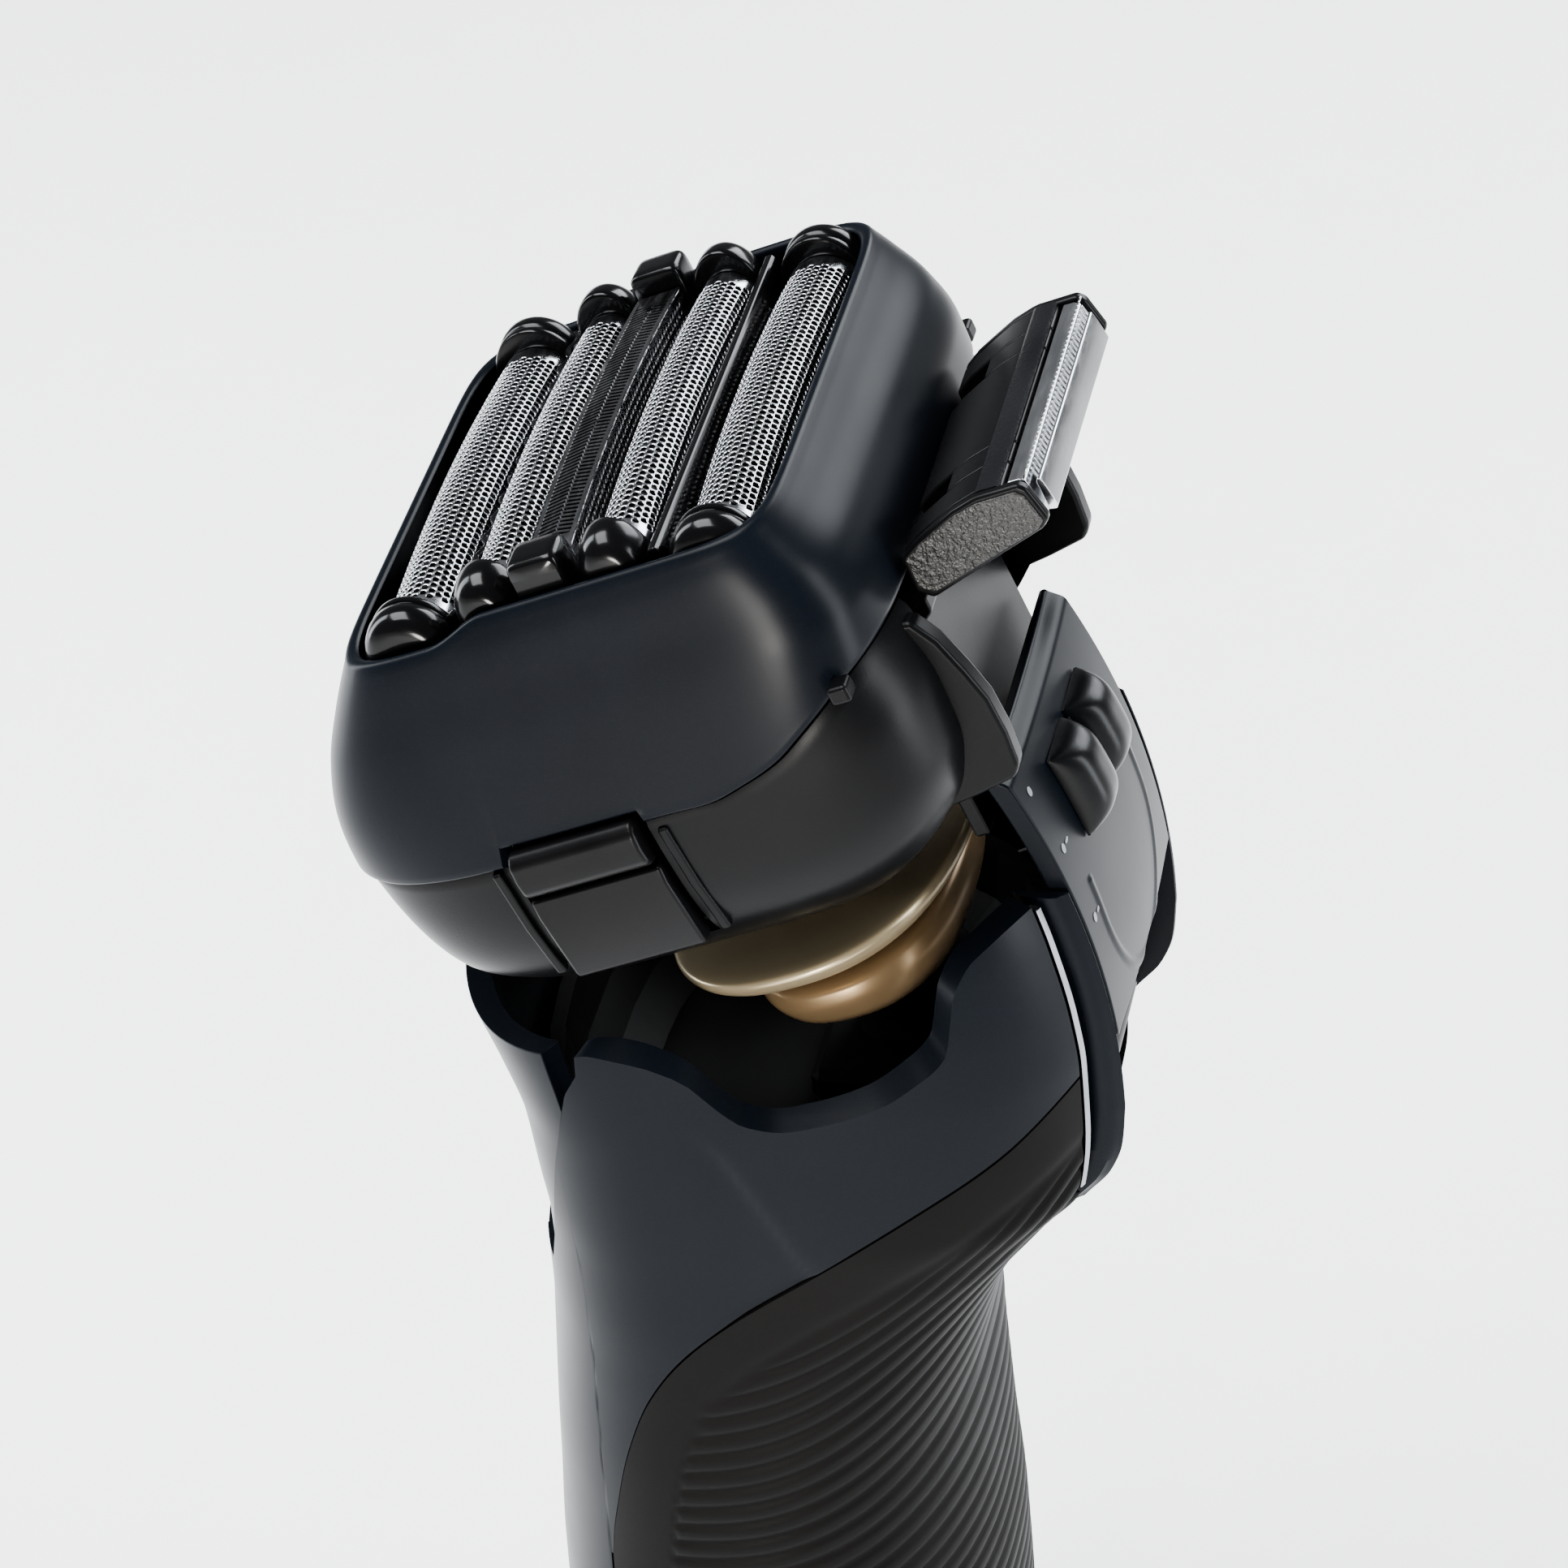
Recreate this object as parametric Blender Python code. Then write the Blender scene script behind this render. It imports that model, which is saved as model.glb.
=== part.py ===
"""Electric foil shaver, wet/dry, with a swivelling five-row head and a pop-up trimmer.
Metres, +Z up the handle, +X along the foils, +Y to the rear.  The origin is the
centre of the flat base.  HEAD() places points given in the head's own tilted frame."""
import bpy, bmesh, math
from mathutils import Vector, Matrix

# ---------------------------------------------------------------- driving sizes (mm)
MM = 0.001
GAP = 0.3                      # clearance between neighbouring pieces
HEAD_TILT = math.radians(20.0)  # head leans forward over the handle
HEAD_Y, HEAD_Z = -5.6, 162.0   # centre of the foil tops
FOIL_HALF = 21.0               # half length of a foil
FOIL_Y = (-13.8, -5.8, 0.0, 5.8, 14.1)
FOIL_TOP = (-1.4, -0.5, -0.2, -0.2, -1.4)
FOIL_R = (3.5, 2.6, 2.0, 2.6, 3.5)
FOIL_T = 0.35
CAP_LEN = 2.9
HANDLE_WALL = 2.2
SHELL_WALL = 1.1

for ob in list(bpy.data.objects):
    bpy.data.objects.remove(ob, do_unlink=True)
COLL = bpy.context.scene.collection


def head(x, y, z):
    c, s = math.cos(HEAD_TILT), math.sin(HEAD_TILT)
    return Vector((x, c * y - s * z + HEAD_Y, s * y + c * z + HEAD_Z)) * MM


def row(x, y, z):
    return Vector((x, y, z)) * MM


MATS = {}


def material(key, rgb, rough, metal):
    m = bpy.data.materials.new(key)
    m.use_nodes = True
    b = m.node_tree.nodes["Principled BSDF"]
    b.inputs["Base Color"].default_value = (*rgb, 1.0)
    b.inputs["Roughness"].default_value = rough
    b.inputs["Metallic"].default_value = metal
    MATS[key] = m


material("blue_black", (0.016, 0.020, 0.028), 0.38, 0.2)
material("black_plastic", (0.010, 0.010, 0.011), 0.45, 0.0)
material("gloss_black", (0.008, 0.008, 0.009), 0.12, 0.0)
material("rubber", (0.018, 0.016, 0.015), 0.7, 0.0)
material("steel", (0.72, 0.73, 0.75), 0.22, 1.0)
material("dark_steel", (0.22, 0.22, 0.23), 0.3, 1.0)
material("motor_metal", (0.30, 0.30, 0.31), 0.4, 1.0)
material("chrome", (0.85, 0.86, 0.88), 0.08, 1.0)
material("gold", (0.62, 0.50, 0.30), 0.28, 1.0)
material("bronze", (0.50, 0.34, 0.18), 0.35, 1.0)
material("white_plastic", (0.6, 0.6, 0.58), 0.5, 0.0)
material("green_board", (0.02, 0.12, 0.05), 0.5, 0.0)


def finish(name, bm, mat, smooth=35.0):
    bmesh.ops.remove_doubles(bm, verts=bm.verts, dist=1e-6)
    bmesh.ops.recalc_face_normals(bm, faces=bm.faces)
    if bm.calc_volume(signed=True) < 0:
        bmesh.ops.reverse_faces(bm, faces=bm.faces)
    me = bpy.data.meshes.new(name)
    bm.to_mesh(me)
    bm.free()
    ob = bpy.data.objects.new(name, me)
    COLL.objects.link(ob)
    me.materials.append(MATS[mat])
    if smooth:
        me.shade_smooth()
        me.set_sharp_from_angle(angle=math.radians(smooth))
    return ob


def loft_into(bm, rings, close=True):
    """Closed solid through rings of equal length; each end is closed by a fan."""
    vs = [[bm.verts.new(p) for p in r] for r in rings]
    n = len(rings[0])
    for a, b in zip(vs, vs[1:]):
        for i in range(n):
            j = (i + 1) % n
            bm.faces.new((a[i], a[j], b[j], b[i]))
    if close:
        for ring, flip in ((vs[0], True), (vs[-1], False)):
            c = Vector((0, 0, 0))
            for v in ring:
                c += v.co
            cv = bm.verts.new(c / n)
            for i in range(n):
                j = (i + 1) % n
                bm.faces.new((cv, ring[j], ring[i]) if flip else (cv, ring[i], ring[j]))
    return vs


def loft(name, rings, mat, smooth=35.0, fan=True):
    bm = bmesh.new()
    vs = loft_into(bm, rings, close=fan)
    if not fan:
        bm.faces.new(list(reversed(vs[0])))
        bm.faces.new(vs[-1])
        bmesh.ops.triangulate(bm, faces=bm.faces)
    return finish(name, bm, mat, smooth)


def tube(name, outer, inner, mat, smooth=35.0):
    """Open-ended wall between outer and inner rings (same counts)."""
    bm = bmesh.new()
    rings = list(outer) + list(reversed(inner))
    vs = [[bm.verts.new(p) for p in r] for r in rings]
    n = len(rings[0])
    for k in range(len(vs)):
        a, b = vs[k], vs[(k + 1) % len(vs)]
        for i in range(n):
            j = (i + 1) % n
            bm.faces.new((a[i], a[j], b[j], b[i]))
    return finish(name, bm, mat, smooth)


def cup(name, outer, inner, mat, smooth=35.0):
    """Bowl: outer rings bottom to top, inner rings bottom to top, open at the top."""
    bm = bmesh.new()
    loft_into(bm, list(outer) + list(reversed(inner)))
    return finish(name, bm, mat, smooth)


def prism_into(bm, outline, x0, x1, place):
    """Outline of (u, v) points run from x0 to x1; place(x, u, v) gives the point."""
    a = [bm.verts.new(place(x0, u, v)) for u, v in outline]
    b = [bm.verts.new(place(x1, u, v)) for u, v in outline]
    n = len(outline)
    for i in range(n):
        j = (i + 1) % n
        bm.faces.new((a[i], a[j], b[j], b[i]))
    bm.faces.new(list(reversed(a)))
    bm.faces.new(b)


def prism(name, outline, spans, place, mat, smooth=35.0):
    bm = bmesh.new()
    for x0, x1 in spans:
        prism_into(bm, outline, x0, x1, place)
    return finish(name, bm, mat, smooth)


def box(name, spans, place, mat, bevel=0.0):
    """One or more boxes ((x0,x1),(y0,y1),(z0,z1)) in one node."""
    bm = bmesh.new()
    for (x0, x1), (y0, y1), (z0, z1) in spans:
        prism_into(bm, [(y0, z0), (y1, z0), (y1, z1), (y0, z1)], x0, x1, place)
    if bevel:
        bmesh.ops.bevel(bm, geom=list(bm.edges), offset=bevel * MM, segments=1,
                        affect='EDGES', clamp_overlap=True)
    return finish(name, bm, mat)


def superellipse(a, bf, br, n, count, yc=0.0, narrow=0.0, z=0.0, place=row):
    """Closed plan outline: half width a, bf to the front, br to the rear."""
    out = []
    for i in range(count):
        t = 2 * math.pi * (i + 0.5) / count
        c, s = math.cos(t), math.sin(t)
        x = a * math.copysign(abs(c) ** (2 / n), c)
        y = (br if s > 0 else bf) * math.copysign(abs(s) ** (2 / n), s)
        if s > 0:
            x *= 1 - narrow * abs(s) ** 2
        out.append(place(x, yc + y, z(x, yc + y) if callable(z) else z))
    return out


def circle(r, z, count, place, x0=0.0, y0=0.0):
    return [place(x0 + r * math.cos(2 * math.pi * (i + 0.5) / count),
                  y0 + r * math.sin(2 * math.pi * (i + 0.5) / count), z) for i in range(count)]


def lerp(table, v, k):
    """Column k of a table of rows sorted by column 0."""
    if v <= table[0][0]:
        return table[0][k]
    for a, b in zip(table, table[1:]):
        if v <= b[0]:
            f = (v - a[0]) / (b[0] - a[0])
            return a[k] + f * (b[k] - a[k])
    return table[-1][k]


def smoothstep(a, b, v):
    t = max(0.0, min(1.0, (v - a) / (b - a)))
    return t * t * (3 - 2 * t)


def cut(ob, cutters):
    for i, c in enumerate(cutters):
        c.hide_render = True
        c.display_type = 'WIRE'
        m = ob.modifiers.new("cut%d" % i, 'BOOLEAN')
        m.operation = 'DIFFERENCE'
        m.object = c
    return ob


def unite(ob, others):
    for i, c in enumerate(others):
        c.hide_render = True
        c.display_type = 'WIRE'
        m = ob.modifiers.new("join%d" % i, 'BOOLEAN')
        m.operation = 'UNION'
        m.object = c
    return ob


def plan(a, bf, br, count, nf=4.2, nr=6.0, z=0.0, place=head):
    """Rounded-box outline of the head; z may depend on y."""
    out = []
    for i in range(count):
        t = 2 * math.pi * (i + 0.5) / count
        c, s = math.cos(t), math.sin(t)
        n = nr if s > 0 else nf
        x = a * math.copysign(abs(c) ** (2 / n), c)
        y = (br if s > 0 else bf) * math.copysign(abs(s) ** (2 / n), s)
        out.append(place(x, y, z(y) if callable(z) else z))
    return out


# ---------------------------------------------------------------- head shell and case
N_HEAD = 44
# z, half width, front, rear
SHELL = ((-2.3, 26.2, 19.3, 20.2), (-4.4, 26.8, 21.0, 21.3), (-8.0, 27.5, 23.8, 23.1),
         (-12.0, 28.3, 26.6, 24.0), (-17.0, 29.1, 29.2, 24.0), (-22.6, 29.8, 31.2, 24.0))
PARTING = ((-32.0, -22.5), (-17.0, -22.7), (2.0, -21.9), (6.0, -22.0), (10.0, -21.2),
           (13.2, -20.2), (16.0, -18.7), (19.1, -17.0), (21.4, -15.9), (24.0, -15.3), (28.0, -15.3))


def parting(y):
    return lerp(PARTING, y, 1)


def shell_ring(f, inset):
    """Ring at fraction f from the rim (0) to the parting line (1)."""
    out = []
    for i in range(N_HEAD):
        t = 2 * math.pi * (i + 0.5) / N_HEAD
        c, s = math.cos(t), math.sin(t)
        n = 12.0 + ((6.0 if s > 0 else 4.2) - 12.0) * min(1.0, 2.2 * f)
        ux, uy = math.copysign(abs(c) ** (2 / n), c), math.copysign(abs(s) ** (2 / n), s)
        zb = parting(uy * (24.0 if s > 0 else 31.0))
        z = -2.3 + f * (zb + 2.3)
        a = lerp(tuple((-r[0], r[1]) for r in SHELL), -z, 1) - inset
        b = lerp(tuple((-r[0], r[3] if s > 0 else r[2]) for r in SHELL), -z, 1) - inset
        out.append(head(a * ux, b * uy, z))
    return out


FR = (0.0, 0.12, 0.3, 0.5, 0.75, 1.0)
shell = tube("outer_head_shell", [shell_ring(f, 0) for f in FR],
             [shell_ring(f, SHELL_WALL) for f in FR], "blue_black")

CASE = ((0.0, 29.3, 30.7, 24.2), (0.25, 29.0, 30.1, 25.4), (0.45, 28.5, 29.3, 25.2),
        (0.64, 27.4, 28.1, 23.6), (0.78, 25.5, 25.9, 20.5), (0.90, 22.6, 22.6, 17.0),
        (1.0, 19.0, 18.8, 13.0))
CASE_BOTTOM = -40.4


def case_ring(row_, inset, lift=0.0):
    f, a, bf, br = row_
    out = []
    for i in range(N_HEAD):
        t = 2 * math.pi * (i + 0.5) / N_HEAD
        c, s = math.cos(t), math.sin(t)
        n = 5.0 if s > 0 else 4.2
        ux, uy = math.copysign(abs(c) ** (2 / n), c), math.copysign(abs(s) ** (2 / n), s)
        zt = parting(uy * (24.0 if s > 0 else 31.0)) - GAP
        z = zt + f * (CASE_BOTTOM - zt) + lift
        out.append(head((a - inset) * ux, ((br if s > 0 else bf) - inset) * uy, z))
    return out


case = cup("lower_head_case", [case_ring(r, 0) for r in reversed(CASE)],
           [case_ring((r[0] * 0.96, r[1], r[2], r[3]), 1.8, 0.0 if r[0] == 0 else 0.6) for r in reversed(CASE)],
           "black_plastic")
BTN_Y, BTN_Z = (-12.6, 0.4), (-35.2, -20.9)
WIN = [box("cutter_window_%s" % t, [((x0, x1), (BTN_Y[0], BTN_Y[1]), (BTN_Z[0], BTN_Z[1]))], head, "black_plastic")
       for t, x0, x1 in (("r", 24.6, 33.0), ("l", -33.0, -24.6))]
REAR_CUT = box("cutter_rear", [((-16.9, 16.9), (18.4, 40.0), (-46.0, -10.0))], head, "black_plastic")
WING = ((20.5, -16.2), (24.6, -16.9), (25.9, -19.2), (26.9, -22.5), (27.6, -25.5), (27.7, -29.0),
        (27.4, -32.2), (26.6, -33.2), (23.0, -33.9), (18.0, -34.6), (18.0, -20.0))
wings = prism("join_wings", WING, [(-19.3, -17.05), (17.05, 19.3)], head, "black_plastic")
wall = box("join_wall", [((-18.2, 18.2), (16.6, 18.1), (-36.6, -15.9))], head, "black_plastic")
cut(case, WIN + [REAR_CUT])
unite(case, [wings, wall])
cut(shell, WIN)

# ---------------------------------------------------------------- foils, combs and caps
def arch(cy, top, r, depth, t, steps=10):
    """Closed arch outline: half round of radius r with straight legs down by depth."""
    zc = top - r
    out = [(cy - r, zc - depth)]
    out += [(cy - r * math.cos(math.pi * k / steps), zc + r * math.sin(math.pi * k / steps)) for k in range(steps + 1)]
    out += [(cy + r, zc - depth), (cy + r - t, zc - depth)]
    q = r - t
    out += [(cy + q * math.cos(math.pi * k / steps), zc + q * math.sin(math.pi * k / steps)) for k in range(steps + 1)]
    out += [(cy - q, zc - depth)]
    return out


FOIL_NAMES = ("outer_foil_1", "outer_foil_2", "slit_comb", "outer_foil_4", "outer_foil_5")
for k, name in enumerate(FOIL_NAMES):
    cy, top, r = FOIL_Y[k], FOIL_TOP[k], FOIL_R[k]
    if k == 2:
        t = 0.5
        out = [(cy - r, top - 6.5), (cy - r, top - 0.6), (cy - r + 0.5, top), (cy + r - 0.5, top), (cy + r, top - 0.6),
               (cy + r, top - 6.5), (cy + r - t, top - 6.5), (cy + r - t, top - t - 0.3), (cy - r + t, top - t - 0.3),
               (cy - r + t, top - 6.5)]
        prism(name, out, [(-FOIL_HALF, FOIL_HALF)], head, "dark_steel")
    else:
        prism(name, arch(cy, top, r, 3.2 if r > 3 else 3.6, FOIL_T), [(-FOIL_HALF, FOIL_HALF)], head, "steel")
    # end caps: rounded blocks a little proud of the foil
    rc = r + (0.45 if r > 3 else 0.35)
    for sgn in (-1, 1):
        bm = bmesh.new()
        x0, x1 = sgn * (FOIL_HALF + GAP), sgn * (FOIL_HALF + GAP + CAP_LEN)
        rings = []
        for x, sc in ((x0, 1.0), (x0 + sgn * CAP_LEN * 0.6, 1.0), (x0 + sgn * CAP_LEN * 0.88, 0.93), (x1, 0.78)):
            ring = []
            zc = top + 0.3 - rc
            q = rc * sc
            for j in range(9):
                ang = math.pi * j / 8
                if k == 2:
                    yy = -q * max(-1, min(1, math.cos(ang) * 1.5))
                    zz = q * min(1, math.sin(ang) * 1.8)
                else:
                    yy, zz = -q * math.cos(ang), q * math.sin(ang)
                ring.append(head(x, cy + yy, zc + zz))
            ring.append(head(x, cy + q, zc - 3.4))
            ring.append(head(x, cy - q, zc - 3.4))
            rings.append(ring)
        loft_into(bm, rings)
        finish("row_%d_cap_%s" % (k + 1, "left" if sgn < 0 else "right"), bm, "gloss_black")
    # inner cutter: half-round block under the foil, open below
    q = r - FOIL_T - 0.3
    zc = top - FOIL_T - 0.3 - q
    if k == 2:
        cutr = [(cy - 1.2, top - 5.8), (cy - 1.2, top - 1.3), (cy + 1.2, top - 1.3), (cy + 1.2, top - 5.8)]
    else:
        cutr = [(cy - q, zc - 2.6)] + [(cy - q * math.cos(math.pi * j / 8), zc + q * math.sin(math.pi * j / 8)) for j in range(9)] \
            + [(cy + q, zc - 2.6), (cy + q - 0.9, zc - 2.6), (cy + q - 0.9, zc), (cy, zc + q - 1.0), (cy - q + 0.9, zc), (cy - q + 0.9, zc - 2.6)]
    prism("inner_cutter_%d" % (k + 1), cutr, [(-19.6, 19.6)], head, "steel")

# cassette frame: floor under the rows with a slot below each row
bm = bmesh.new()
frame_rings = [plan(25.0, 20.2, 19.4, 40, z=-12.4), plan(25.0, 20.2, 19.4, 40, z=-10.9)]
loft_into(bm, frame_rings)
cassette = finish("foil_cassette_frame", bm, "gloss_black")
slots = box("cutter_slots", [((-18.0, 18.0), (y - 1.4, y + 1.4), (-14.0, -9.0)) for y in FOIL_Y], head, "gloss_black")
cut(cassette, [slots])
prism("row_divider_bar", [(8.85, -10.5), (8.85, -2.2), (9.25, -1.7), (9.85, -1.7), (10.1, -2.2), (10.1, -10.5)],
      [(-23.6, 23.6)], head, "gloss_black")
bm = bmesh.new()
rings = []
for j in range(31):
    x = -22.8 + 45.6 * j / 30
    w = 0.18 * math.cos(math.pi * j)
    rings.append([head(x, -9.3 - 0.35 + w, -10.5), head(x, -9.3 + 0.35 + w, -10.5),
                  head(x, -9.3 + 0.35 + w, -2.6), head(x, -9.3 - 0.35 + w, -2.6)])
loft_into(bm, rings)
finish("row_divider_wave", bm, "gloss_black")

# ---------------------------------------------------------------- head drive
box("linear_motor", [((-17.0, 17.0), (-13.0, 13.0), (-37.2, -22.0))], head, "motor_metal", bevel=1.0)
loft("motor_seal", [plan(18.5, 14.5, 14.5, 24, 4, 4, z=-21.6), plan(18.5, 14.5, 14.5, 24, 4, 4, z=-20.3)], "rubber")

prism("drive_pin_a", [(-15.5, -19.8), (15.5, -19.8), (15.5, -12.9), (-15.5, -12.9)], [(-9.0, -4.0)], head, "white_plastic")
prism("drive_pin_b", [(-9.5, -19.8), (9.5, -19.8), (9.5, -12.9), (-9.5, -12.9)], [(4.0, 9.0)], head, "white_plastic")

# ---------------------------------------------------------------- release buttons and nubs
for tag, s in (("right", 1), ("left", -1)):
    out = [(26.9, -34.9), (29.2, -34.9), (30.1, -27.6), (29.9, -25.6), (30.9, -24.7), (30.9, -21.9), (30.2, -21.2), (26.9, -21.2)]
    bm = bmesh.new()
    prism_into(bm, [(s * u, v) for u, v in out], BTN_Y[0] + GAP + 0.1, BTN_Y[1] - GAP - 0.1, lambda y, u, v: head(u, y, v))
    finish("release_button_" + tag, bm, "black_plastic")

# ---------------------------------------------------------------- neck
def oval(a, bf, br, z, count=28, n=2.4, place=head, yc=0.0):
    return superellipse(a, bf, br, n, count, yc, 0.0, z, place)


loft("neck_disc", [oval(11, 8, 8, -47.0), oval(16, 11, 11, -46.6), oval(19.5, 13.2, 13.2, -45.2),
                   oval(20.4, 14, 14, -43.9), oval(20.2, 13.8, 13.8, -43.3), oval(17, 11, 11, -43.0)], "gold")
loft("neck_hub", [oval(9, 5, 6.5, -54.4, yc=1.0), oval(13, 7, 8, -53.6, yc=1.0), oval(16, 9, 9.6, -51.5, yc=1.0),
                  oval(17, 9.6, 10.2, -49.0, yc=1.0), oval(16.2, 9.2, 9.8, -47.6, yc=1.0), oval(9, 5, 5, -47.3, yc=1.0)], "bronze")
loft("pitch_rocker", [circle(3.6, -42.7, 20, head), circle(6.8, -42.35, 20, head), circle(7.0, -42.1, 20, head)], "black_plastic")
loft("roll_rocker", [circle(6.5, -41.8, 20, head), circle(7.0, -41.6, 20, head), circle(6.5, -41.1, 20, head)], "black_plastic")
loft("neck_post", [circle(7.0, -62.6, 20, head, 0, 2), circle(5.6, -58.0, 20, head, 0, 1.5), circle(5.2, -56.4, 20, head, 0, 1)], "black_plastic")

# ---------------------------------------------------------------- trimmer
FLAP = ((24.7, -13.2), (28.4, -11.2), (32.7, -9.8), (36.6, -9.8), (37.1, -10.4), (37.7, -13.5),
        (36.9, -14.1), (25.8, -17.4), (24.6, -16.4))
PIN = (26.2, -14.6)
flap = prism("trimmer_flap", FLAP, [(-15.7, 15.7)], head, "black_plastic")
cut(flap, [box("cutter_blade_seat", [((-14.4, 14.4), (36.0, 42.0), (-18.0, -10.5))], head, "steel"),
           box("cutter_lug_l", [((-10.6, -7.4), (20.0, 28.6), (-20.0, -8.0))], head, "steel"),
           box("cutter_lug_r", [((7.4, 10.6), (20.0, 28.6), (-20.0, -8.0))], head, "steel"),
           prism("cutter_pin", [(PIN[0] + 1.1 * math.cos(math.pi * k / 6), PIN[1] + 1.1 * math.sin(math.pi * k / 6)) for k in range(12)],
                 [(-13.0, 13.0)], head, "steel")])
prism("trimmer_pin", [(PIN[0] + 0.75 * math.cos(math.pi * k / 6), PIN[1] + 0.75 * math.sin(math.pi * k / 6)) for k in range(12)],
      [(-12.6, 12.6)], head, "steel")
box("trimmer_fixed_blade", [((-14.1, 14.1), (36.3, 36.9), (-14.3, -10.8))], head, "steel")
box("trimmer_moving_blade", [((-13.2, 13.2), (37.2, 37.7), (-13.8, -11.2))], head, "steel")
carrier = prism("trimmer_carrier", [(18.8, -40.5), (20.2, -40.5), (20.2, -22.5), (26.6, -17.6), (27.4, -15.2),
                                    (26.9, -13.6), (25.6, -13.6), (25.2, -15.4), (24.6, -17.2), (18.8, -21.2)], [(-14.4, 14.4)], head, "black_plastic")
cut(carrier, [box("cutter_carrier_%d" % i, [(s, (19.0, 40.0), (-20.2, -5.0))], head, "steel")
              for i, s in enumerate(((-20.0, -10.1), (-7.9, 7.9), (10.1, 20.0)))] +
    [prism("cutter_pin_b", [(PIN[0] + 0.98 * math.cos(math.pi * k / 6), PIN[1] + 0.98 * math.sin(math.pi * k / 6)) for k in range(12)],
           [(-13.0, 13.0)], head, "steel")])

ARC_Y, ARC_Z, ARC_R = -27.7, 105.0, 65.0


def arc(x, deg, r):
    a = math.radians(deg)
    return row(x, ARC_Y + (ARC_R + r) * math.cos(a), ARC_Z + (ARC_R + r) * math.sin(a))


def arc_panel(name, xs, d0, d1, nd, r_out, r_in, mat):
    """Plate that follows the slider track: xs are stations across, d0..d1 degrees along."""
    rings = []
    for k in range(nd + 1):
        d = d0 + (d1 - d0) * k / nd
        rings.append([arc(x, d, r_out(x, d)) for x in xs] + [arc(x, d, r_in(x, d)) for x in reversed(xs)])
    return loft(name, rings, mat)


XS = (-14.6, -10.0, -5.0, 0.0, 5.0, 10.0, 14.6)
arc_panel("slider_panel", XS, 5.2, 29.8, 10, lambda x, d: -0.4 * (x / 14.6) ** 2 - (0.8 if d > 29 else 0),
          lambda x, d: -2.2, "blue_black")
KX = (-8.6, -6.0, -2.0, 0.0, 2.0, 6.0, 8.6)
arc_panel("slider_knob", KX, 18.2, 26.4, 6,
          lambda x, d: 2.9 - 1.4 * (abs(x) / 8.6) ** 3 - 1.3 * (abs(d - 22.3) / 4.1) ** 3 - (0.5 if x == 0 else 0),
          lambda x, d: 0.25, "black_plastic")

# ---------------------------------------------------------------- handle surface
H_TABLE = (  # z, half width, rear, front
    (0, 21.5, 16.5, 16.0), (2, 23.5, 18.0, 17.6), (6, 24.8, 19.3, 18.8), (15, 25.5, 20.2, 19.8), (40, 26.5, 20.6, 20.5),
    (50, 26.9, 20.2, 20.1), (60, 27.3, 20.0, 19.2), (66, 27.6, 19.9, 18.7), (70, 27.8, 20.5, 18.3), (73, 27.9, 21.3, 18.0),
    (76, 28.0, 22.2, 17.7), (79, 28.15, 23.2, 17.4), (82, 28.3, 24.5, 17.1), (87, 28.6, 27.4, 16.9), (92, 28.8, 31.6, 16.8),
    (97, 29.0, 36.0, 17.3), (104, 29.2, 37.0, 18.0), (110, 29.3, 37.1, 19.9), (115, 29.2, 36.6, 22.0), (122, 28.6, 35.0, 24.5),
    (128, 27.8, 33.0, 25.0))
RIM = ((-30.0, 114.5), (-20.0, 114.5), (-8.0, 116.5), (-5.4, 117.8), (-2.8, 117.2), (0.0, 116.4), (2.9, 114.8), (5.1, 112.5),
       (7.5, 110.7), (10.3, 110.2), (13.8, 110.8), (18.5, 112.2), (21.9, 114.2), (24.3, 116.4), (25.2, 121.8),
       (26.8, 124.2), (31.2, 125.9), (40.0, 126.2))
GRIP = ((-30.0, 3.0), (-11.9, 3.0), (-11.7, 30.0), (-11.3, 46.0), (-10.9, 56.6), (-9.1, 65.7), (-7.2, 72.3), (-4.5, 78.8), (-0.9, 84.1),
        (3.9, 88.7), (11.5, 94.2), (20.8, 100.5), (28.2, 105.0), (34.1, 109.2), (40.0, 112.0))
FRONT_EDGE = ((-30.0, 87.0), (-13.8, 88.0), (-12.5, 93.0), (-10.5, 103.0), (-8.0, 112.4), (-5.4, 117.8))


def hsec(z, t, inset=0.0):
    a, br, bf = (lerp(H_TABLE, z, k) - inset for k in (1, 2, 3))
    c, s = math.cos(t), math.sin(t)
    n = (2.3 + 0.7 * max(0.0, min(1.0, (z - 60) / 30))) if s > 0 else 2.5
    return (a * math.copysign(abs(c) ** (2 / n), c), (br if s > 0 else bf) * math.copysign(abs(s) ** (2 / n), s))


def on_edge(table, t, guess=95.0):
    z = guess
    for _ in range(24):
        z += 0.5 * (lerp(table, hsec(z, t)[1], 1) - z)
    return z


def spread(t0, t1, n):
    return [t0 + (t1 - t0) * i / n for i in range(n + 1)]


def patch(name, degs, zlo, zhi, nz, mat, out=0.0, wall=HANDLE_WALL):
    """Curved wall piece of the handle over the angles degs and heights zlo(t)..zhi(t)."""
    bm = bmesh.new()
    rings = []
    for deg in degs:
        t = math.radians(deg)
        lo, hi = zlo(t), zhi(t)
        ring = []
        zz = [lo + (hi - lo) * k / nz for k in range(nz + 1)]
        for z in zz:
            ring.append(row(*hsec(z, t, out), z))
        for z in reversed(zz):
            ring.append(row(*hsec(z, t, out + wall), z))
        rings.append(ring)
    vs = loft_into(bm, rings, close=False)
    for ring, flip in ((vs[0], True), (vs[-1], False)):
        n = len(ring)
        for k in range(nz):
            q = (ring[k], ring[k + 1], ring[n - 2 - k], ring[n - 1 - k])
            bm.faces.new(tuple(reversed(q)) if flip else q)
    return finish(name, bm, mat)


def grip_front_angle():
    d = -10.0
    while hsec(30, math.radians(d))[1] > -11.2 and d > -60:
        d -= 0.25
    return d


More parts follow.
